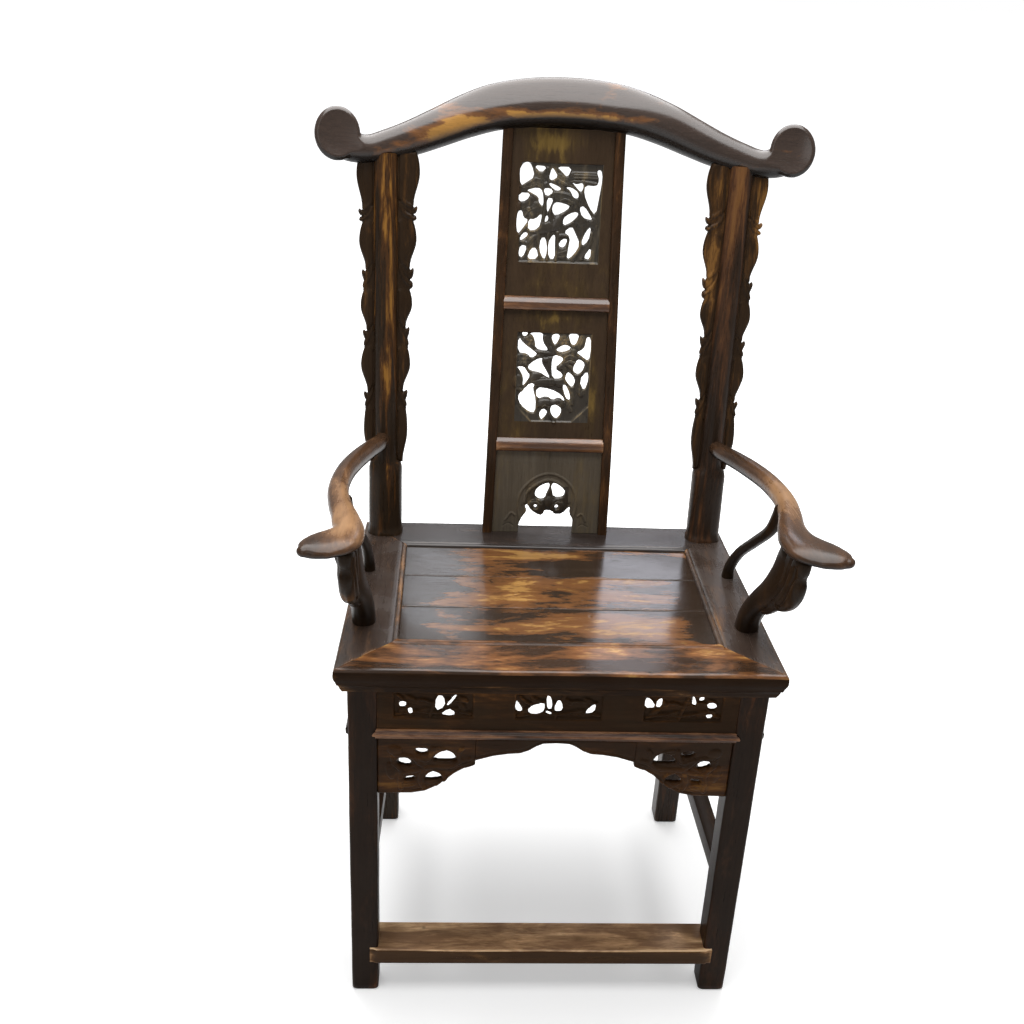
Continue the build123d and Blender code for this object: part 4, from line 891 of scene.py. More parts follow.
FRONT_POST_PATH = [
    (251, -84, SEAT_TOP - 6, 15.5, 15.5), (251.5, -96, 572, 15, 15), (253, -123, 606, 15.5, 14.5),
    (255, -157, 640, 18, 14), (257, -184, 674, 22, 14), (258.5, -198, 700, 25, 14.5), (260, -205, 714, 27, 15),
]
SIDE_POST_PATH = [
    (253, 52, SEAT_TOP - 5, 8.5, 8.5), (254, 46, 566, 7.5, 7.5), (256, 14, 604, 7, 7), (260, -38, 648, 7, 7),
    (266, -74, 682, 7.3, 7.3), (271, -86, 708, 8.5, 9), (273, -88, 718, 9, 10),
]


def arm_supports():
    for stem, path in (("arm_front_post", FRONT_POST_PATH), ("arm_side_post", SIDE_POST_PATH)):
        finish_pair(stem, "shaped", limb(path, 10, 36, (1, 0, 0), 2.3), ARM_POSTS, 60)


ARM_WING_X, ARM_WING_THICK = 258.0, 17.0
ARM_WING = [
    (-96, 588), (-118, 588), (-140, 596), (-160, 611), (-182, 628), (-206, 640), (-230, 656), (-248, 676),
    (-256, 696), (-251, 708), (-259, 720), (-257, 738), (-190, 738), (-172, 690), (-140, 640), (-104, 606),
]
ARM_WING_FLUTES = drawn(
    "cut", (4.0, 2.4, -250, 722, -243, 698, -228, 670, -202, 646),
    (4.5, 2.6, -234, 728, -229, 700, -214, 676, -184, 648),
    (4.0, 2.4, -214, 732, -210, 706, -196, 680, -166, 636), (3.5, 1.8, -190, 640, -160, 618, -128, 600))


def arm_wings():
    """Lobed brackets that swell towards the arm post, with soft flutes on both faces."""
    swell = lambda px, pz, rim: 3.0 * (1 - np.cos(np.clip(rim / 26.0, 0, 1) * math.pi)) / 2
    for side, sign in SIDES:
        shell = carved_board(rounded_line(ARM_WING, 2), [], ARM_WING_FLUTES, 1.2,
                             lambda y, z, off: (sign * (ARM_WING_X - off), y, z), ARM_WING_THICK, round_rim=8.0,
                             relief_at=swell, both=True)
        finish_piece("arm_front_wing_" + side, "carved", shell, ARM_POSTS, 75)


# ---------------------------------------------------------------- rear posts and their wings
def rounded_section(w, d, r, per_corner, per_side):
    """Ring of a rounded rectangle, centred on 0."""
    corners = ((1, 1), (-1, 1), (-1, -1), (1, -1))
    at = lambda corner, a: (corner[0] * (w / 2 - r) + r * math.cos(a), corner[1] * (d / 2 - r) + r * math.sin(a))
    ring = []
    for k, corner in enumerate(corners):
        ring += [at(corner, t + k * math.pi / 2) for t in np.linspace(0, math.pi / 2, per_corner)]
        a = math.pi / 2 + k * math.pi / 2
        end, start = at(corner, a), at(corners[(k + 1) % 4], a)
        for t in np.linspace(0, 1, per_side + 2)[1:-1]:
            ring.append((end[0] + (start[0] - end[0]) * t, end[1] + (start[1] - end[1]) * t))
    return np.array(ring)


def upright(stations, step, rib_at=lambda z: 0.0):
    """Skin over (z, x, y, width, depth, corner radius) stations, with a slight unevenness of the hand tool."""
    rings = []
    for a, b in zip(stations, stations[1:]):
        count = max(int((b[0] - a[0]) / step), 1)
        for t in np.arange(count) / count:
            rings.append([a[i] + (b[i] - a[i]) * t for i in range(6)])
    rings.append(stations[-1])
    out = []
    for z, x, y, w, d, r in rings:
        sway = 0.35 * math.sin(z * 0.021 + x) + 0.2 * math.sin(z * 0.067)
        rib = rib_at(z)
        out.append([(x + px, y + py + (rib * held((abs(px) - 7.0) / 3.0) if py < 0 else 0.0), z)
                    for px, py in rounded_section(w + sway, d - sway, r, 6, 8)])
    return loft(out)


POST_TOP = 1088


def rear_posts():
    """Square leg below, rounded post above the seat with a low rib down its front."""
    leg = lambda z: POST_Y + REAR_SPLAY * (1 - z / SEAT_TOP)
    legs = [(z, REAR_LEG_X, leg(y), w, w, r) for z, y, w, r in (
        (0, 0, 34, 5), (2.5, 2.5, 37.5, 4), (UNDER, UNDER, 38, 3.5), (SEAT_TOP - 4, SEAT_TOP, 38, 3.5))]
    post = [(z, POST_X, post_y(y), w, d, r) for z, y, w, d, r in (
        (SEAT_TOP - 3, SEAT_TOP, 51, 39, 17), (SEAT_TOP + 4, 550, 51.5, 39.5, 17.5),
        (SEAT_TOP + 6.5, 553, 48.5, 36.5, 16), (SHOULDER - 8, 647, 48, 36, 16), (SHOULDER, SHOULDER, 44, 35, 15),
        (SHOULDER + 6, 661, 33.5, 33.5, 13), (POST_TOP, POST_TOP, 33, 33, 13))]
    shell = upright(legs + post, 8.0, lambda z: 1.6 * held((z - SHOULDER) / 12.0))
    finish_piece("rear_post_right", "shaped", shell, RED_POST, 50)
    finish_piece("rear_post_left", "shaped", mirrored(shell), POSTS, 50)


# lobes from the seat up: lower end, upper end, then reach from the post's middle below, at the fullest and above
OUTER_LOBES = [
    (SHOULDER + 0.6, 735, 24.5, 31.5, 29), (761, 823, 26, 35, 30), (850, 903, 27, 35, 31),
    (934, 995, 28, 36.5, 32), (1014, 1088, 32, 39.5, 34),
]
INNER_LOBES = [
    (SHOULDER + 0.6, 735, 25, 31.5, 29), (765, 823, 25, 34.5, 31), (856, 905, 28, 36.5, 33),
    (938, 998, 33, 41.5, 37), (1020, 1090, 37, 45, 40),
]


def leaf_joins(lobes):
    """Between two lobes: end and width of the lower one, start and width of the upper one, gap, reach of the leaf."""
    return [(z1, high, zn, low, zn - z1, max(high + 1.5, low + 4.5))
            for (_, z1, _, _, high), (zn, _, low, _, _) in zip(lobes, lobes[1:])]


def lobed_outline(lobes, root):
    """Free edge of a wing: each lobe is narrow below and full above, with a pair of leaf tips between two lobes."""
    line = [(root, lobes[0][0])]
    for (z0, z1, low, bulge, high), join in zip(lobes, leaf_joins(lobes) + [None]):
        for t in np.linspace(0, 1, 13):
            rise = math.sin(min(t / 0.60, 1.0) * math.pi / 2) ** 2
            fall = max(t - 0.60, 0.0) / 0.40
            line.append((low + (bulge - low) * rise + (high - bulge) * fall ** 2, z0 + (z1 - z0) * t))
        if join:
            _, _, _, wide, gap, tip = join
            line += [(x, z1 + share * gap) for x, share in (
                (high + 0.5, 0.06), (tip - 1.5, 0.10), (tip - 0.2, 0.20), (tip - 1.0, 0.34), (high - 0.5, 0.44),
                (tip - 1.5, 0.52), (tip + 0.2, 0.66), (tip + 0.8, 0.84), (tip - 0.4, 0.95), (wide + 0.6, 0.84),
                (wide - 0.8, 0.93))]
    line.append((root, lobes[-1][1]))
    return line


def post_wings():
    for stem, lobes, sense in (("post_wing_outer_", OUTER_LOBES, 1), ("post_wing_inner_", INNER_LOBES, -1)):
        strokes = []
        for z0, z1, *_ in lobes:
            span = z1 - z0
            strokes += domes((21.5, z0 + 0.56 * span, 0, 10.0, span * 0.52, 2.2))
            strokes += drawn("cut", (1.8, 1.5, 16.6, z0 + 2, 16.8, z1 - 2))
        for z1, _, zn, _, gap, tip in leaf_joins(lobes):
            strokes += drawn(
                "ridge", (3.0, 1.8, 18.0, zn + 0.9 * gap, 22, zn + 0.25 * gap, tip - 1.0, z1 + 0.82 * gap),
                (2.6, 1.5, 18.5, zn + 0.1 * gap, 24, z1 + 0.5 * gap, tip - 1.5, z1 + 0.24 * gap))
            strokes += drawn("cut", (1.1, 1.2, 18, zn + 0.35 * gap, 24, z1 + 0.72 * gap, tip - 3, z1 + 0.45 * gap))
        for side, sign in SIDES:
            shell = carved_board(lobed_outline(lobes, 12.0), [], strokes, 1.1,
                                 lambda x, z, off: (sign * (POST_X + sense * x), post_y(z) - off, z), 11.0,
                                 round_rim=4.0)
            finish_piece(stem + side, "carved", shell, WINGS, 75)


# ---------------------------------------------------------------- splat
STILE, JOINT, PANEL_THICK = 14.0, 0.2, 8.0
LOWER_BAR, UPPER_BAR = (678, 697), (880, 898)
# windows as half width, low, high; openings and strokes as x, z, x, z ...
TOP_WINDOW, MIDDLE_WINDOW, BOTTOM_WINDOW = (56, 944, 1076), (53, 721, 848), (32, 560, 622)
TOP_OPENINGS = [dots(row) for row in (
    (-48, 1075, -43, 1070, -39, 1057, -48, 1051, -56, 1045, -57, 1065, -54, 1071),
    (-38, 1071, -22, 1070, -29, 1063), (-6, 1070, 12, 1070, 7, 1058, 1, 1065),
    (-14, 1068, -11, 1064, -7, 1058, -13, 1054, -17, 1056),
    (47, 1065, 53, 1067, 55, 1056, 52, 1035, 49, 1009, 40, 1020, 33, 1037, 34, 1047, 47, 1045, 51, 1053),
    (15, 1051, 22, 1047, 27, 1050, 29, 1046, 27, 1039, 22, 1045),
    (-17, 1049, -8, 1045, -1, 1042, -7, 1040, -13, 1044),
    (7, 1043, 14, 1043, 22, 1038, 23, 1031, 17, 1032, 14, 1039), (-24, 1041, -16, 1041, -12, 1037, -20, 1032),
    (-47, 1038, -32, 1041, -27, 1037, -25, 1025, -26, 1019, -31, 1025, -32, 1031, -40, 1035),
    (-57, 1034, -43, 1034, -48, 1026, -57, 1024), (-19, 1028, -11, 1027, -15, 1018, -18, 1010),
    (-4, 1023, 11, 1020, 9, 1015, -6, 1007, -10, 1013, -9, 1020),
    (27, 1017, 33, 1019, 43, 1005, 42, 1003, 32, 1006),
    (22, 1011, 24, 1007, 16, 1000, 6, 994, 6, 1003, 14, 1008),
    (-58, 1010, -53, 1010, -52, 1001, -45, 999, -52, 989, -58, 981, -59, 997),
    (-42, 1000, -34, 999, -27, 1007, -27, 1001, -30, 989, -43, 986), (-19, 1006, -17, 1001, -21, 997),
    (17, 991, 21, 983, 28, 969, 21, 956, 12, 949, 14, 964, 16, 977, 7, 983),
    (41, 991, 43, 987, 40, 975, 33, 968, 33, 977), (-48, 982, -44, 979, -53, 972, -53, 977),
    (-25, 974, -19, 975, -17, 959, -20, 947, -26, 961),
    (-9, 979, -6, 978, -7, 967, -5, 950, -13, 950, -14, 968), (5, 974, 11, 974, 7, 965, 0, 967),
    (-53, 964, -45, 963, -50, 950, -55, 953), (-38, 960, -32, 961, -29, 949, -43, 948),
    (45, 965, 44, 950, 36, 952))]
MIDDLE_OPENINGS = [dots(row) for row in (
    (-46, 846, -40, 846, -40, 844, -43, 842),
    (-36, 845, -17, 846, -19, 835, -10, 825, -12, 823, -26, 826, -26, 836, -30, 842),
    (-4, 844, 5, 844, 6, 841, 3, 834, 0, 832), (21, 845, 34, 845, 31, 836, 28, 832, 25, 834, 24, 838),
    (46, 841, 51, 840, 51, 824, 50, 810, 41, 817, 33, 822, 44, 826, 45, 833),
    (-50, 840, -44, 831, -29, 821, -25, 817, -33, 812, -38, 819, -50, 819),
    (4, 823, 9, 827, 16, 830, 24, 826, 13, 822),
    (0, 816, 13, 812, 12, 806, 3, 798, 13, 791, 12, 785, 0, 784, -1, 801),
    (-16, 812, -18, 804, -12, 795, -5, 784, -11, 787, -19, 793, -32, 794, -35, 799, -28, 805),
    (37, 810, 44, 804, 41, 796, 36, 791, 29, 796, 33, 806),
    (-51, 797, -42, 797, -39, 791, -34, 786, -40, 776, -43, 773, -42, 785, -47, 793),
    (49, 794, 50, 782, 46, 767, 40, 781), (21, 792, 28, 786, 31, 780, 28, 772, 23, 778, 19, 783),
    (-31, 775, -26, 772, -29, 766, -25, 754, -24, 735, -31, 735, -43, 744, -48, 756, -40, 765),
    (15, 773, 19, 773, 23, 764, 26, 753, 20, 757),
    (-22, 769, -2, 766, 13, 759, 18, 750, 8, 757, 1, 753, -6, 758, -20, 753),
    (6, 745, 13, 739, 12, 732, 7, 726, 1, 733, 0, 741), (-12, 738, -7, 734, -10, 729, -14, 724, -16, 732))]
BOTTOM_OPENINGS = [dots(row) for row in (
    (1, 627, 3, 620, -2, 610, -3, 603, -10, 601, -17, 607, -14, 618),
    (10, 627, 25, 617, 25, 609, 22, 605, 11, 605, 10, 613, 7, 620), (-17, 592, -14, 590, -15, 587, -18, 588),
    (14, 592, 17, 591, 17, 587, 13, 587))]
ARCH = dots((-40, 540, -40, 559, -35, 571, -28, 580, -32, 589, -28, 592, -23, 583, -9, 573, -3, 577, -2, 583,
             10, 582, 12, 576, 25, 577, 34, 589, 36, 587, 35, 578, 41, 568, 41, 559, 41, 540))
TOP_STROKES = (
    drawn("ridge", (3.2, 2.2, -20, 1030, -24, 1046, -34, 1056, -52, 1047),
          (3, 2, -20, 1030, -17, 1050, -20, 1068), (2.8, 2.2, -22, 1048, -21, 1020, -24, 1000),
          (3, 2.2, -2, 1052, 22, 1042, 36, 1015, 44, 1000, 50, 995),
          (3, 2, 29, 1060, 30, 1036, 30, 1020, 26, 1012),
          (3.4, 2.6, -12, 1036, -2, 1036, 10, 1034, 20, 1026, 24, 1014),
          (2.6, 2, -14, 1024, -15, 1006, -10, 996), (3, 2.2, -38, 992, -50, 992, -56, 974, -46, 968),
          (3.2, 2.2, -44, 966, -40, 974, -30, 980), (3, 2.4, -30, 982, -28, 966, -24, 948),
          (2.4, 2.2, -15, 984, -17, 966, -16, 948), (2.6, 2.2, -3, 984, -2, 968, -4, 948),
          (2.6, 1.8, -40, 944, -44, 962), (2.4, 2, 0, 980, 14, 981),
          (3, 2.2, 26, 1000, 34, 984, 30, 968, 20, 948), (2.8, 2, 44, 984, 44, 970, 32, 950),
          (5.5, 2.4, 14, 1060, 50, 1060), (3, 2, 14, 1052, 30, 1052, 48, 1049))
    + domes((6, 1028, -14, 16, 7, 3), (-8, 1032, 15, 7, 3.6, 2.2), (-24, 990, 8, 19, 9, 3.2),
            (-4, 996, 60, 12, 7, 3), (2, 1006, 70, 7, 4, 2.4), (4, 957, 0, 9, 9, 2.6),
            (27, 1003, -50, 11, 8, 2.6), (46, 998, -60, 10, 6, 2.2))
    + drawn("cut", (1, 1, -2, 1028, 6, 1032, 18, 1026), (1, 1, 0, 1024, 10, 1026, 20, 1020),
            (1, 0.9, -2, 958, 10, 962), (1, 0.9, -1, 953, 10, 955), (0.9, 1, 16, 1063, 48, 1063),
            (0.9, 1, 15, 1059, 50, 1059), (0.9, 1, 18, 1055, 50, 1055))
    + leaves((-46, 1045, 24, 14), (-30, 1059, 20, 128), (-18, 1060, 16, 70), (0, 1054, 26, -32), (12, 1050, 20, -48),
             (-34, 1048, 18, -28), (36, 1024, 16, -60))
    + blossoms((-44, 1014, 17)))
MIDDLE_STROKES = (
    drawn("ridge", (3.2, 2.2, -50, 838, -34, 826, -16, 808, -2, 812),
          (3, 2.2, -28, 820, -14, 820, 4, 818, 20, 806), (2.8, 2.2, -2, 846, -2, 826, 8, 812, 30, 806),
          (3, 2, -6, 812, -6, 796, 0, 784), (3.6, 2.8, 16, 780, 18, 796, 10, 802),
          (2.6, 2.2, 14, 806, 26, 800, 34, 792), (3, 2, 34, 790, 46, 798, 48, 808, 38, 814),
          (4.2, 2.4, 34, 788, 36, 770, 42, 762), (2.8, 2.2, -36, 768, -26, 776, -24, 760, -20, 744),
          (2.8, 2.2, 16, 778, 17, 762, 24, 746, 28, 738), (2.6, 2, 22, 770, 30, 758, 30, 748),
          (2.6, 2, -50, 768, -40, 762, -30, 772), (3, 2.2, -4, 742, -2, 732, 4, 722),
          (2.8, 2, 28, 842, 36, 826, 34, 818), (3, 2.2, -14, 842, -12, 830, -2, 822))
    + domes((-12, 778, 4, 24, 7.5, 3.4), (-26, 784, 40, 10, 7, 3), (12, 779, 10, 11, 8, 3),
            (8, 800, 12, 9, 4.4, 3), (22, 816, 20, 13, 10, 2.4), (-50, 778, 0, 8, 10, 2.6),
            (-11, 747, 8, 11, 6.5, 3), (9, 748, -8, 11, 6.5, 3))
    + drawn("cut", (1, 1, 14, 814, 22, 820, 32, 816), (1, 1, 16, 808, 24, 812, 32, 808),
            (1.1, 1.1, -16, 742, -10, 748, -4, 744), (1.1, 1.1, 4, 744, 10, 750, 16, 744),
            (1, 0.8, -30, 780, -12, 784, 8, 784), (1, 0.8, -28, 774, -8, 776, 10, 774))
    + leaves((38, 838, 18, 70), (-12, 836, 20, 100), (-20, 818, 18, 8), (42, 772, 22, 80))
    + blossoms((-33, 836, 11), (-44, 810, 11), (14, 838, 9)))
BOTTOM_STROKES = (
    drawn("ridge",
          (2, 1.3, -38, 566, -44, 590, -40, 612, -28, 628, -12, 640, 4, 643, 20, 638, 36, 624, 44,
           604, 44, 586, 40, 568),
          (2.4, 1.6, -32, 596, -30, 612, -18, 624, 0, 634, 18, 628, 31, 612, 33, 598),
          (1.8, 1, -60, 566, -52, 580, -46, 574), (1.8, 1, 60, 566, 54, 580, 48, 574))
    + domes((-16, 590, 0, 12, 12, 2.4), (15, 590, 0, 12, 12, 2.4), (3, 596, 0, 7, 10, 2.8))
    + drawn("cut", (1.1, 1.2, -22, 598, -14, 600, -8, 594), (1.1, 1.2, 22, 598, 16, 600, 10, 594),
            (1, 0.8, -64, 556, -54, 562, -48, 556), (1, 0.8, 64, 556, 54, 562, 50, 556))
)


def widened(openings, by):
    """Drawn openings lose a little when their corners are cut, so each is let out again."""
    out = []
    for line in openings:
        cx = sum(p[0] for p in line) / len(line)
        cz = sum(p[1] for p in line) / len(line)
        grown = []
        for x, z in line:
            far = math.hypot(x - cx, z - cz)
            grown.append((x + (x - cx) / far * by, z + (z - cz) / far * by))
        out.append(grown)
    return out


def inside_window(px, pz, left, right, low, high):
    """Distance to the nearest side of an upright rectangle, positive inside."""
    return np.minimum(np.minimum(px - left, right - px), np.minimum(pz - low, high - pz))


def window_dish(half, low, high, lower_corner=0.0):
    """The carving lies a little under the panel's face, inside a neatly cut window."""
    def dish(px, pz, rim):
        inner = inside_window(px, pz, -half, half, low, high)
        if lower_corner:
            corner = (np.minimum(px + half, half - px) + (pz - low) - lower_corner) / 1.414
            inner = np.minimum(inner, corner)
        return -2.8 * np.clip(inner / 1.5, 0, 1)
    return dish


def panel(name, low, high, openings, strokes, material, window, dish=None):
    """Panel between two bars; the carving inside its window (half width, low, high) has its own finish."""
    outline = []
    for z, sign in ((low, -1), (low, 1), (high, 1), (high, -1)):
        outline.append((sign * (splat_half(z) - STILE - JOINT), z))
    shell = carved_board(outline, openings, strokes, 0.8, lambda x, z, off: (x, splat_y(z) - off, z), PANEL_THICK,
                         2.0, relief_at=dish)
    piece = finish_piece(name, "carved", shell, material, 75)
    half, z0, z1 = window
    second_finish(piece, FRET, lambda centre, normal: abs(centre.x) < half * MM and z0 * MM < centre.z < z1 * MM)


def splat():
    panel("splat_top_panel", UPPER_BAR[1] + JOINT, 1121.0, widened(TOP_OPENINGS, 1.7), TOP_STROKES, PANELS,
          TOP_WINDOW, window_dish(*TOP_WINDOW))
    panel("splat_middle_panel", LOWER_BAR[1] + JOINT, UPPER_BAR[0] - JOINT, widened(MIDDLE_OPENINGS, 1.7),
          MIDDLE_STROKES, PANELS, MIDDLE_WINDOW, window_dish(*MIDDLE_WINDOW, lower_corner=24))
    panel("splat_bottom_panel", SEAT_TOP + JOINT, LOWER_BAR[0] - JOINT, widened(BOTTOM_OPENINGS, 1.6) + [ARCH],
          BOTTOM_STROKES, LOW_PANEL, BOTTOM_WINDOW)


BAR_SECTION = [(9.0, 0.0), (9.0, 1.0), (-4.0, 1.0), (-5.5, 0.97), (-10.4, 0.66), (-10.9, 0.58), (-10.9, 0.16),
               (-10.0, 0.05), (-8.0, 0.0)]


def moulding_group():
    """Geometry nodes: a section run along a straight line, with sloped ends and the unevenness of a hand plane."""
    group = bpy.data.node_groups.new("moulding along a line", "GeometryNodeTree")
    ids = {}
    for label, kind in (("Section", "Object"), ("Start", "Vector"), ("End", "Vector"), ("Steps", "Int"),
                        ("Face", "Float"), ("End Slope", "Float"), ("Unevenness", "Float"), ("Finish", "Material")):
        ids[label] = group.interface.new_socket(label, in_out="INPUT", socket_type="NodeSocket" + kind).identifier
    group.interface.new_socket("Geometry", in_out="OUTPUT", socket_type="NodeSocketGeometry")
    n = Nodes(group)
    entry = n.add("NodeGroupInput").outputs
    line = n.add("GeometryNodeCurvePrimitiveLine", {"Start": entry["Start"], "End": entry["End"]}).outputs[0]
    line = n.add("GeometryNodeResampleCurve", {"Curve": line, "Count": entry["Steps"]}).outputs[0]
    section = n.add("GeometryNodeObjectInfo", {"Object": entry["Section"]}).outputs["Geometry"]
    form = n.add("GeometryNodeCurveToMesh", {"Curve": line, "Profile Curve": section, "Fill Caps": True}).outputs[0]
    place = n.add("GeometryNodeInputPosition").outputs[0]
    x, y, _ = n.add("ShaderNodeSeparateXYZ", {0: place}).outputs
    reach = n.add("ShaderNodeSeparateXYZ", {0: entry["End"]}).outputs[0]
    proud = n.math("MAXIMUM", n.minus(entry["Face"], y), 0.0)
    longer = n.times(n.times(n.math("DIVIDE", x, reach), proud), entry["End Slope"])
    wave = n.minus(n.noise(place, 7.0, 2.0, 0.4), 0.5)
    lift = n.times(wave, entry["Unevenness"])
    offset = n.add("ShaderNodeCombineXYZ", {0: longer, 1: 0.0, 2: lift}).outputs[0]
    form = n.add("GeometryNodeSetPosition", {"Geometry": form, "Offset": offset}).outputs[0]
    form = n.add("GeometryNodeRealizeInstances", {0: form}).outputs[0]
    form = n.add("GeometryNodeSetMaterial", {"Geometry": form, "Material": entry["Finish"]}).outputs[0]
    n.put(n.add("NodeGroupOutput").inputs[0], form)
    return group, ids


MOULDING, MOULDING_IDS = moulding_group()


def moulding(name, section, half, steps, material, face=0.0, slope=0.0, uneven=0.7):
    """section is (y, z) in mm; the moulding runs from -half to half in x. What stands before face grows by slope."""
    y0, z0 = section[0]
    curve = bpy.data.curves.new(name + " section", "CURVE")
    curve.dimensions = "3D"
    run = curve.splines.new("POLY")
    run.points.add(len(section) - 1)
    for point, (y, z) in zip(run.points, section):
        point.co = ((y0 - y) * MM, (z0 - z) * MM, 0.0, 1.0)
    run.use_cyclic_u = True
    outline = set_out(name + " section", curve)
    holder = set_out(name + " rough", bpy.data.meshes.new(name))
    shaped = holder.modifiers.new("moulding", "NODES")
    shaped.node_group = MOULDING
    values = {"Section": outline, "Start": (-half * MM, y0 * MM, z0 * MM), "End": (half * MM, y0 * MM, z0 * MM),
              "Steps": steps, "Face": face * MM, "End Slope": slope, "Unevenness": uneven * MM, "Finish": material}
    for label, value in values.items():
        shaped[MOULDING_IDS[label]] = value
    mesh = shaped_mesh(holder)
    holder.modifiers.clear()
    for thing in (outline, holder):
        bpy.data.objects.remove(thing)
    return mesh


def splat_frame():
    """Stiles with softly rounded arrises, and bars whose upper front edge slopes off to catch the light."""
    section = rounded_section(STILE, 18.0, 2.6, 5, 3)
    for side, sign in SIDES:
        rings = [[(sign * (splat_half(z) - STILE / 2) + px, splat_y(z) + py, z) for px, py in section]
                 for z in np.linspace(SEAT_TOP, 1122, 110)]
        finish_piece("splat_stile_" + side, "shaped", loft(rings), STILES, 45)
    for name, (z0, z1) in (("splat_lower_bar", LOWER_BAR), ("splat_upper_bar", UPPER_BAR)):
        half = splat_half((z0 + z1) / 2) - 13.0
        section = [(splat_y(z0 + (z1 - z0) * up) + off, z0 + (z1 - z0) * up) for off, up in BAR_SECTION]
        finish_piece(name, "shaped", moulding(name, section, half, 70, BARS), BARS, 50)


# ---------------------------------------------------------------- seat
EDGE_PROFILE = [(0.0, 508.0), (-9.0, 508.0), (-6.5, 514.0), (-5.0, 519.0), (-3.2, 520.2), (-2.6, 522.5),
                (-1.4, 526.5), (-0.2, 529.0), (0.8, 533.0), (1.0, 537.5), (0.6, 542.0), (-0.6, 544.6),
                (-2.6, 546.0)]
# the rest of the rail's section: share of the way from the outer edge to the panel, height
RAIL_TOP = [(0.06, 546.0), (0.3, 546.0), (0.6, 546.0), (0.80, 546.0), (0.875, 545.9), (0.89, 545.3), (0.905, 546.2),
            (0.92, 547.3), (0.955, 547.5), (0.975, 547.0), (0.99, 545.9), (1.0, 544.0), (1.0, 526.0), (1.0, 508.0)]
# below RIM_TOP the edge faces are painted darker: painted shade
RIM_TOP = 0.5425  # metres; the finish of the edge ends here


def seat_rails():
    """Four mitred rails: the outer moulding, the flat, the raised bead and the inner groove."""
    ends = {"front": (SEAT_FRONT, -HALF_D, -1, PANEL_FRONT), "back": (SEAT_BACK, HALF_D, 1, PANEL_BACK)}

    def corner(end, sign, off, share):
        x_out, y_out, way, inner = ends[end]
        ox, oy = x_out + off, y_out + way * off
        return sign * (ox + (PANEL_HALF - ox) * share), oy + (inner - oy) * share

    section = [(off, 0.0, z) for off, z in EDGE_PROFILE[1:]] + [(0.0, share, z) for share, z in RAIL_TOP]
    for name, a, b, material in (("seat_rail_front", ("front", -1), ("front", 1), SEAT_RAIL),
                                 ("seat_rail_right", ("front", 1), ("back", 1), SIDE_RAIL),
                                 ("seat_rail_back", ("back", 1), ("back", -1), BACK_RAIL),
                                 ("seat_rail_left", ("back", -1), ("front", -1), SIDE_RAIL)):
        rings = []
        for t in np.linspace(0.0006, 0.9994, 90):
            ring = []
            for off, share, z in section:
                (xa, ya), (xb, yb) = corner(*a, off, share), corner(*b, off, share)
                x, y = xa + (xb - xa) * t, ya + (yb - ya) * t
                sag = 0.25 * math.sin(x * 0.031 + y * 0.027) if z > 540 else 0.0
                ring.append((x, y, z + sag - 0.12))
            rings.append(ring)
        piece = finish_piece(name, "moulded", loft(rings), material, 40)
        # the edge faces below the rail top get the darker copy: painted shade
        second_finish(piece, RIM, lambda centre, normal: centre.z < RIM_TOP)


BOARD_THICK = 15.5


def seat_boards():
    depth = (PANEL_BACK - PANEL_FRONT) / 3
    for i, part in enumerate(("front", "middle", "rear")):
        y0, y1 = PANEL_FRONT + i * depth + 0.04, PANEL_FRONT + (i + 1) * depth - 0.04
        rings = []
        for x in np.linspace(-PANEL_HALF + 0.3, PANEL_HALF - 0.3, 120):
            ring = []
            for py, pz in rounded_section(y1 - y0, BOARD_THICK, 0.3, 4, 24):
                wave = 0.18 * math.sin(x * 0.024 + i * 2 + py * 0.06) if pz > 0 else 0.0
                ring.append((x, (y0 + y1) / 2 + py, BOARD_TOP - 8.0 + pz + wave - 0.3))
            rings.append(ring)
        finish_piece("seat_board_" + part, "worn", loft(rings), SEAT, 45)


# ---------------------------------------------------------------- legs, rails, footrest
def front_legs():
    stations = [(z, FRONT_LEG_X, FRONT_LEG_Y - FRONT_SPLAY * (1 - z / UNDER), w, w, r)
                for z, w, r in ((0, 33, 6), (3, 36.4, 4.5), (40, LEG, 3.6), (UNDER, LEG, 3.2))]
    finish_pair("front_leg", "worn", upright(stations, 7.0), LEGS, 50)


FOOT_HALF, FOOT_DEEP, FOOT_TALL, FOOT_Y, FOOT_Z = 240, 53.5, 27.0, -168.75, 67.0


def footrest():
    """Bar worn down by feet left and right of its middle, cut back a little at its two ends."""
    rings = []
    for x in np.linspace(-FOOT_HALF, FOOT_HALF, 110):
        worn = 2.2 * math.exp(-((abs(x) - 90) / 110) ** 2)
        drop = 4.0 if abs(x) > FOOT_HALF - 8 else 0.0
        ring = []
        for py, pz in rounded_section(FOOT_DEEP - drop, FOOT_TALL, 3.2, 6, 12):
            sunk = worn * max(0.0, -py / 27) if pz > 0 else 0.0  # deepest at the front edge
            ring.append((x, FOOT_Y + py, FOOT_Z + pz - sunk))
        rings.append(ring)
    piece = finish_piece("footrest", "worn", loft(rings), FOOT_TOP_WEAR_AND_PAINTED_LIGHT, 50)
    # front and underside faces get the darker copy of the lacquer: painted shade
    second_finish(piece, FOOT_FRONT_PAINTED_SHADE, lambda centre, normal: normal.y < -0.8 or normal.z < -0.5)


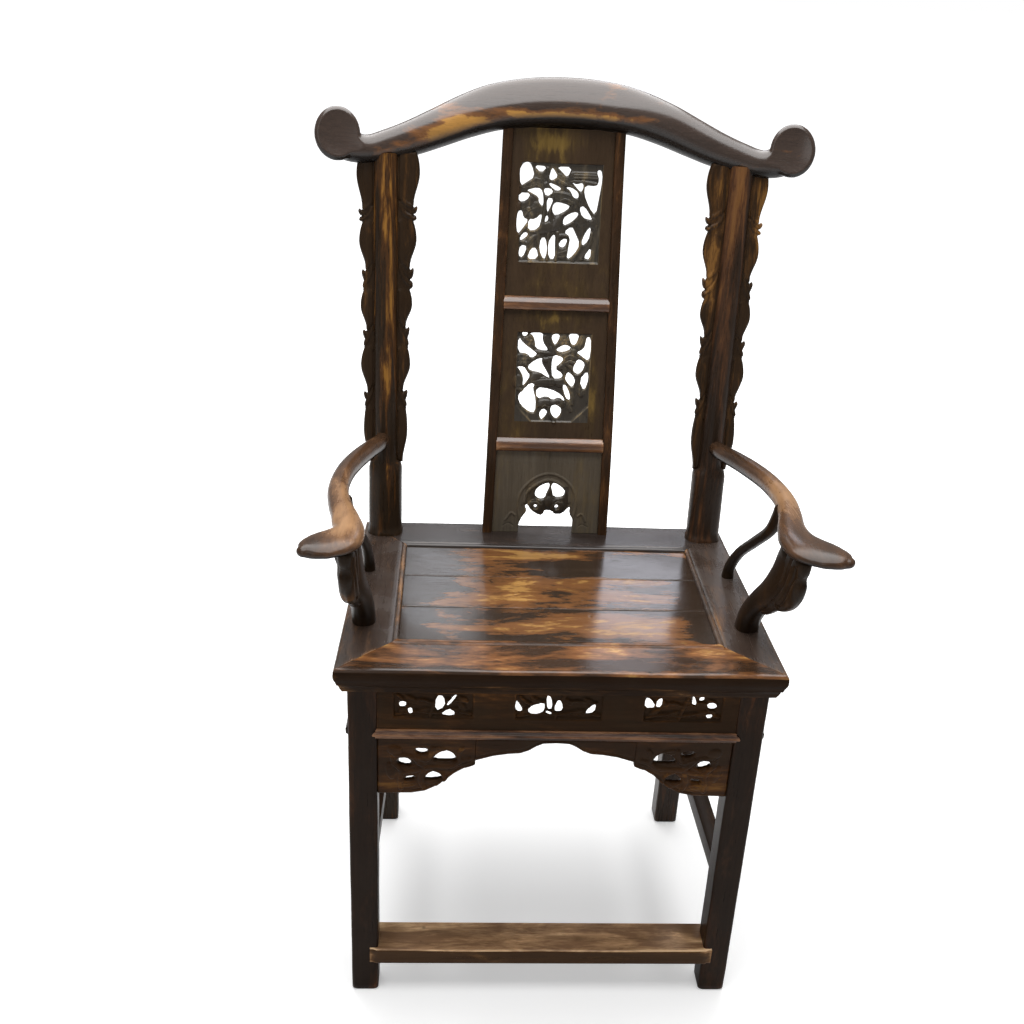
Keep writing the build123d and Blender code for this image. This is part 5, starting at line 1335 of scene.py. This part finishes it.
# ---------------------------------------------------------------- waist, moulded rail and apron
WAIST_THICK = 10.5
WINDOWS = [(-208.0, -108.0), (-55.0, 55.0), (108.0, 208.0)]
WAIST_OPENINGS = [dots(row) for row in (
    (-200, 484, -194, 485, -194, 480, -199, 479), (-189, 474, -186, 475, -185, 470, -188, 469),
    (-154, 494, -146, 493, -145, 480, -155, 473), (-141, 483, -138, 482, -130, 494, -132, 496),
    (-148, 467, -134, 466, -133, 471, -139, 475), (-54, 488, -51, 484, -47, 477, -50, 474, -54, 478),
    (-37, 479, -20, 487, -20, 475, -26, 471, -36, 471), (-16, 496, -11, 494, -9, 480, -14, 478),
    (-14, 474, -10, 472, -11, 470, -15, 472), (-2, 489, 2, 488, 4, 477, -3, 475, -4, 480),
    (34, 472, 44, 474, 46, 485, 40, 480), (110, 495, 115, 494, 122, 483, 110, 482),
    (125, 492, 130, 495, 129, 484, 124, 484), (166, 500, 170, 499, 174, 488, 169, 489),
    (179, 497, 182, 498, 182, 495, 179, 494), (189, 489, 197, 489, 200, 483, 192, 482),
    (190, 472, 195, 472, 195, 468, 191, 468))]


def sunk_windows(px, pz, deep, low, high):
    share = np.zeros(px.shape)
    for a, b in WINDOWS:
        share = np.maximum(share, np.clip(inside_window(px, pz, a, b, low, high) / 1.6, 0, 1))
    return deep * share


def waist_front():
    """Board with three sunk windows; their carving lies low in front, and the back is hollowed behind it."""
    strokes = []
    for a, b in WINDOWS:
        c = (a + b) / 2
        strokes += drawn("ridge", (2.8, 3.0, a + 4, 468, c - 22, 474, c, 470, c + 24, 476, b - 4, 470),
                         (2.4, 2.8, a + 6, 496, a + 18, 484, c - 14, 492, c, 484, c + 16, 492, b - 8, 488),
                         (2.4, 2.8, c - 4, 466, c, 482, c + 6, 498))
        strokes += leaves(
            (a + 14, 476, 18, 40), (c - 28, 490, 20, -30), (c - 12, 474, 16, 20), (c + 10, 490, 18, 150),
            (c + 24, 474, 20, 10), (b - 14, 480, 18, 120), (c + 36, 492, 14, -20), height=3.0)
    outline = dots((-INNER_FRONT, WAIST_LOW, INNER_FRONT, WAIST_LOW, INNER_FRONT, UNDER, -INNER_FRONT, UNDER))
    shell = carved_board(outline, widened(WAIST_OPENINGS, 2.2), strokes, 1.0,
                         lambda x, z, off: (x, FACE_Y + WAIST_THICK / 2 - off, z), WAIST_THICK, 1.8, back_round=2.0,
                         relief_at=lambda px, pz, rim: sunk_windows(px, pz, -3.5, 463.0, 501.0),
                         back_at=lambda px, pz: sunk_windows(px, pz, 3.8, 459.0, 505.0))
    finish_piece("waist_front", "carved", shell, WAIST, 75)


def moulded_rail():
    """The rail under the waist: an upper step, a round bead and a plain lower band."""
    profile = [(-164.0, 431.2), (-180.0, 431.2), (-184.6, 431.6), (-186.4, 433.0), (-187.0, 436.0), (-187.8, 437.2),
               (-189.6, 437.6), (-190.6, 439.0), (-190.6, 440.6), (-189.6, 442.0), (-187.4, 442.6), (-186.2, 443.6),
               (-185.9, 445.4), (-184.8, 446.0), (-164.0, 446.0)]
    mesh = moulding("under_rail_front", profile, INNER_FRONT, 110, MOULDED, FACE_Y, 0.9, 0.6)
    finish_piece("under_rail_front", "moulded", mesh, MOULDED, 40)


BRACKET_X = 103.0
APRON_MIDDLE, CENTRE_THICK, BRACKET_THICK, BEAD_LIFT = FACE_Y + 5.75, 10.5, 9.0, 5
CENTRE_CURVE = [(BRACKET_X, 397.5), (80, 405), (60, 408.5), (46, 409.5), (35, 414), (26, 420.5), (17, 425), (0, 426)]
BRACKET_CURVE = [(BRACKET_X, 390.5), (118, 384), (130, 376), (141, 365), (152, 356), (167, 347.5), (184, 344)]
BRACKET_OPENINGS = [dots(row) for row in (
    (164, 413, 180, 414, 176, 407, 168, 406), (129, 399, 134, 407, 143, 411, 154, 402, 155, 396, 133, 396),
    (147, 371, 152, 377, 159, 376, 166, 369, 164, 365, 148, 367), (181, 370, 190, 369, 193, 364, 184, 366),
    (186, 392, 192, 398, 202, 397, 201, 391, 190, 387))]
BRACKET_STROKES = (
    drawn("ridge", (4, 2.2, 112, 400, 124, 396, 132, 388, 150, 386, 168, 386, 182, 380, 198, 378),
          (3.2, 2.4, 120, 416, 126, 408, 122, 396), (3.6, 2.6, 158, 416, 160, 404, 166, 396, 180, 402),
          (3.4, 2.4, 168, 386, 176, 394, 184, 404, 206, 406), (3.4, 2.4, 140, 362, 144, 374, 156, 384),
          (3.4, 2.4, 168, 352, 174, 364, 170, 380), (3.4, 2.4, 198, 352, 200, 366, 196, 380, 208, 392))
    + domes((206, 412, 20, 10, 8, 2.4), (212, 380, 80, 14, 6, 2.4))
    + leaves((156, 362, 22, 28), (188, 358, 20, -12), (112, 390, 18, -20), (206, 396, 22, 70), (148, 414, 20, 10),
             (186, 384, 18, 150))
    + blossoms((172, 398, 10)))


def front_apron():
    """Centre strip and two pierced brackets, each with a scribed line along its shaped edge."""
    place = lambda x, z, off: (x, APRON_MIDDLE - off, z)
    left = flipped(CENTRE_CURVE)
    outline = [(-BRACKET_X, RAIL_LOW), (BRACKET_X, RAIL_LOW)] + CENTRE_CURVE + left[-2::-1]
    bead = [("cut", raised_by(line, BEAD_LIFT), 1.3, 1.2) for line in (CENTRE_CURVE, left)]
    shell = carved_board(outline, [], bead, 1.4, place, CENTRE_THICK, round_rim=0.7)
    finish_piece("apron_front_centre", "carved", shell, APRON, 70)
    outline = [(BRACKET_X, RAIL_LOW), (INNER_FRONT, RAIL_LOW), (INNER_FRONT, 343)] + BRACKET_CURVE[::-1]
    bead = [("cut", raised_by(BRACKET_CURVE, BEAD_LIFT), 1.4, 1.3)]
    shell = carved_board(outline, widened(BRACKET_OPENINGS, 1.8), bead + BRACKET_STROKES, 0.9, place, BRACKET_THICK,
                         2.8, round_rim=0.7)
    finish_pair("apron_front_bracket", "carved", shell, APRON, 75)


def plain_members():
    """Members that are hidden or plain: the CAD form with softened arrises."""
    names = ["side_stretcher_left", "side_stretcher_right", "back_stretcher"]
    names += [stem + end for stem in ("waist_", "under_rail_", "apron_") for end in ("back", "left", "right")]
    for name in names:
        finish_piece(name, "softened", softened(name), LACQUER["x" if "back" in name else "y"], 35)
    for side in ("left", "right"):
        name = "seat_batten_" + side
        finish_piece(name, "softened", softened(name), BARE_WOOD, 35)


for build in (crest_rail, arms, arm_supports, arm_wings, rear_posts, post_wings, splat, splat_frame, seat_rails,
              seat_boards, front_legs, footrest, waist_front, moulded_rail, front_apron, plain_members):
    build()


# ---------------------------------------------------------------- camera, floor and light
def camera():
    """Eye in front of the chair, to its left and above, looking down on it."""
    yaw, pitch, roll = 0.05854, 0.45269, -0.04858
    sy, cy, sp, cp = math.sin(yaw), math.cos(yaw), math.sin(pitch), math.cos(pitch)
    ahead = Vector((sy * cp, cy * cp, -sp))
    right = Vector((cy, -sy, 0.0))
    down = ahead.cross(right)
    right_rolled = math.cos(roll) * right + math.sin(roll) * down
    down_rolled = -math.sin(roll) * right + math.cos(roll) * down
    data = bpy.data.cameras.new("camera")
    data.sensor_fit = "HORIZONTAL"
    data.sensor_width = 36.0
    data.lens = data.sensor_width * 1.2 / 1.024  # focal length: 1.2 / 1.024 of the sensor's width
    data.clip_end = 60.0
    eye = set_out("camera", data)
    axes = Matrix((right_rolled, -down_rolled, -ahead)).transposed().to_4x4()
    eye.matrix_world = Matrix.Translation(Vector((-144.446, -1429.278, 1361.168)) * MM) @ axes
    bpy.context.scene.camera = eye


def lamp(name, place, aim, size, power, tint=(1.0, 1.0, 1.0)):
    data = bpy.data.lights.new(name, "AREA")
    data.shape = "RECTANGLE"
    data.size, data.size_y = size
    data.energy = power
    data.color = tint
    light = set_out(name, data)
    way = Vector(aim) - Vector(place)
    light.matrix_world = Matrix.Translation(place) @ way.to_track_quat("-Z", "Y").to_matrix().to_4x4()
    light.visible_camera = False


def floor():
    """Matt floor that also glows for the camera alone, so that it runs out to white away from the chair."""
    reach = 30
    mesh = bpy.data.meshes.new("floor")
    mesh.from_pydata([(-reach, -reach, 0), (reach, -reach, 0), (reach, reach, 0), (-reach, reach, 0)], [],
                     [(0, 1, 2, 3)])
    material = bpy.data.materials.new("pale floor")
    n = clean_nodes(material)
    seen = n.add("ShaderNodeLightPath").outputs["Is Camera Ray"]
    place = n.add("ShaderNodeTexCoord").outputs["Object"]
    far = n.add("ShaderNodeVectorMath", {0: place}, operation="LENGTH").outputs["Value"]
    level = n.ramp(far, 0.45, 1.6, 0.35, 1.0)
    matt = n.add("ShaderNodeBsdfDiffuse", {"Color": (0.82, 0.82, 0.82, 1)})
    glow = n.add("ShaderNodeEmission", {"Color": (1, 1, 1, 1), "Strength": n.times(seen, level)})
    both = n.add("ShaderNodeAddShader", {0: matt.outputs[0], 1: glow.outputs[0]})
    n.add("ShaderNodeOutputMaterial", {"Surface": both.outputs[0]})
    mesh.materials.append(material)
    set_out("floor", mesh)


def room():
    """White for the camera, dim white for all other rays."""
    world = bpy.data.worlds.new("room")
    bpy.context.scene.world = world
    n = clean_nodes(world)
    path = n.add("ShaderNodeLightPath").outputs
    pale = n.plus(path["Is Camera Ray"], path["Is Transmission Ray"], clamp=True)
    back = n.add("ShaderNodeBackground", {"Color": (1, 1, 1, 1), "Strength": n.plus(n.times(pale, 0.73), 0.27)})
    n.add("ShaderNodeOutputWorld", {"Surface": back.outputs[0]})


camera()
floor()
room()
lamp("overhead", (-0.1, 0.75, 2.9), (-0.1, 0.75, 0.5), (2.8, 4.0), 150.0)
lamp("front fill", (-1.5, -2.7, 2.0), (0.0, 0.0, 0.6), (1.8, 1.6), 10.0)
lamp("left window", (-0.18, 2.6, 2.05), (-0.15, 0.0, 0.55), (0.26, 0.42), 0.9, (0.86, 0.92, 1.0))
lamp("right window", (0.60, 2.6, 2.05), (0.12, 0.0, 0.55), (0.44, 0.42), 2.1, (0.84, 0.88, 1.0))

bpy.context.scene.view_settings.view_transform = "Standard"
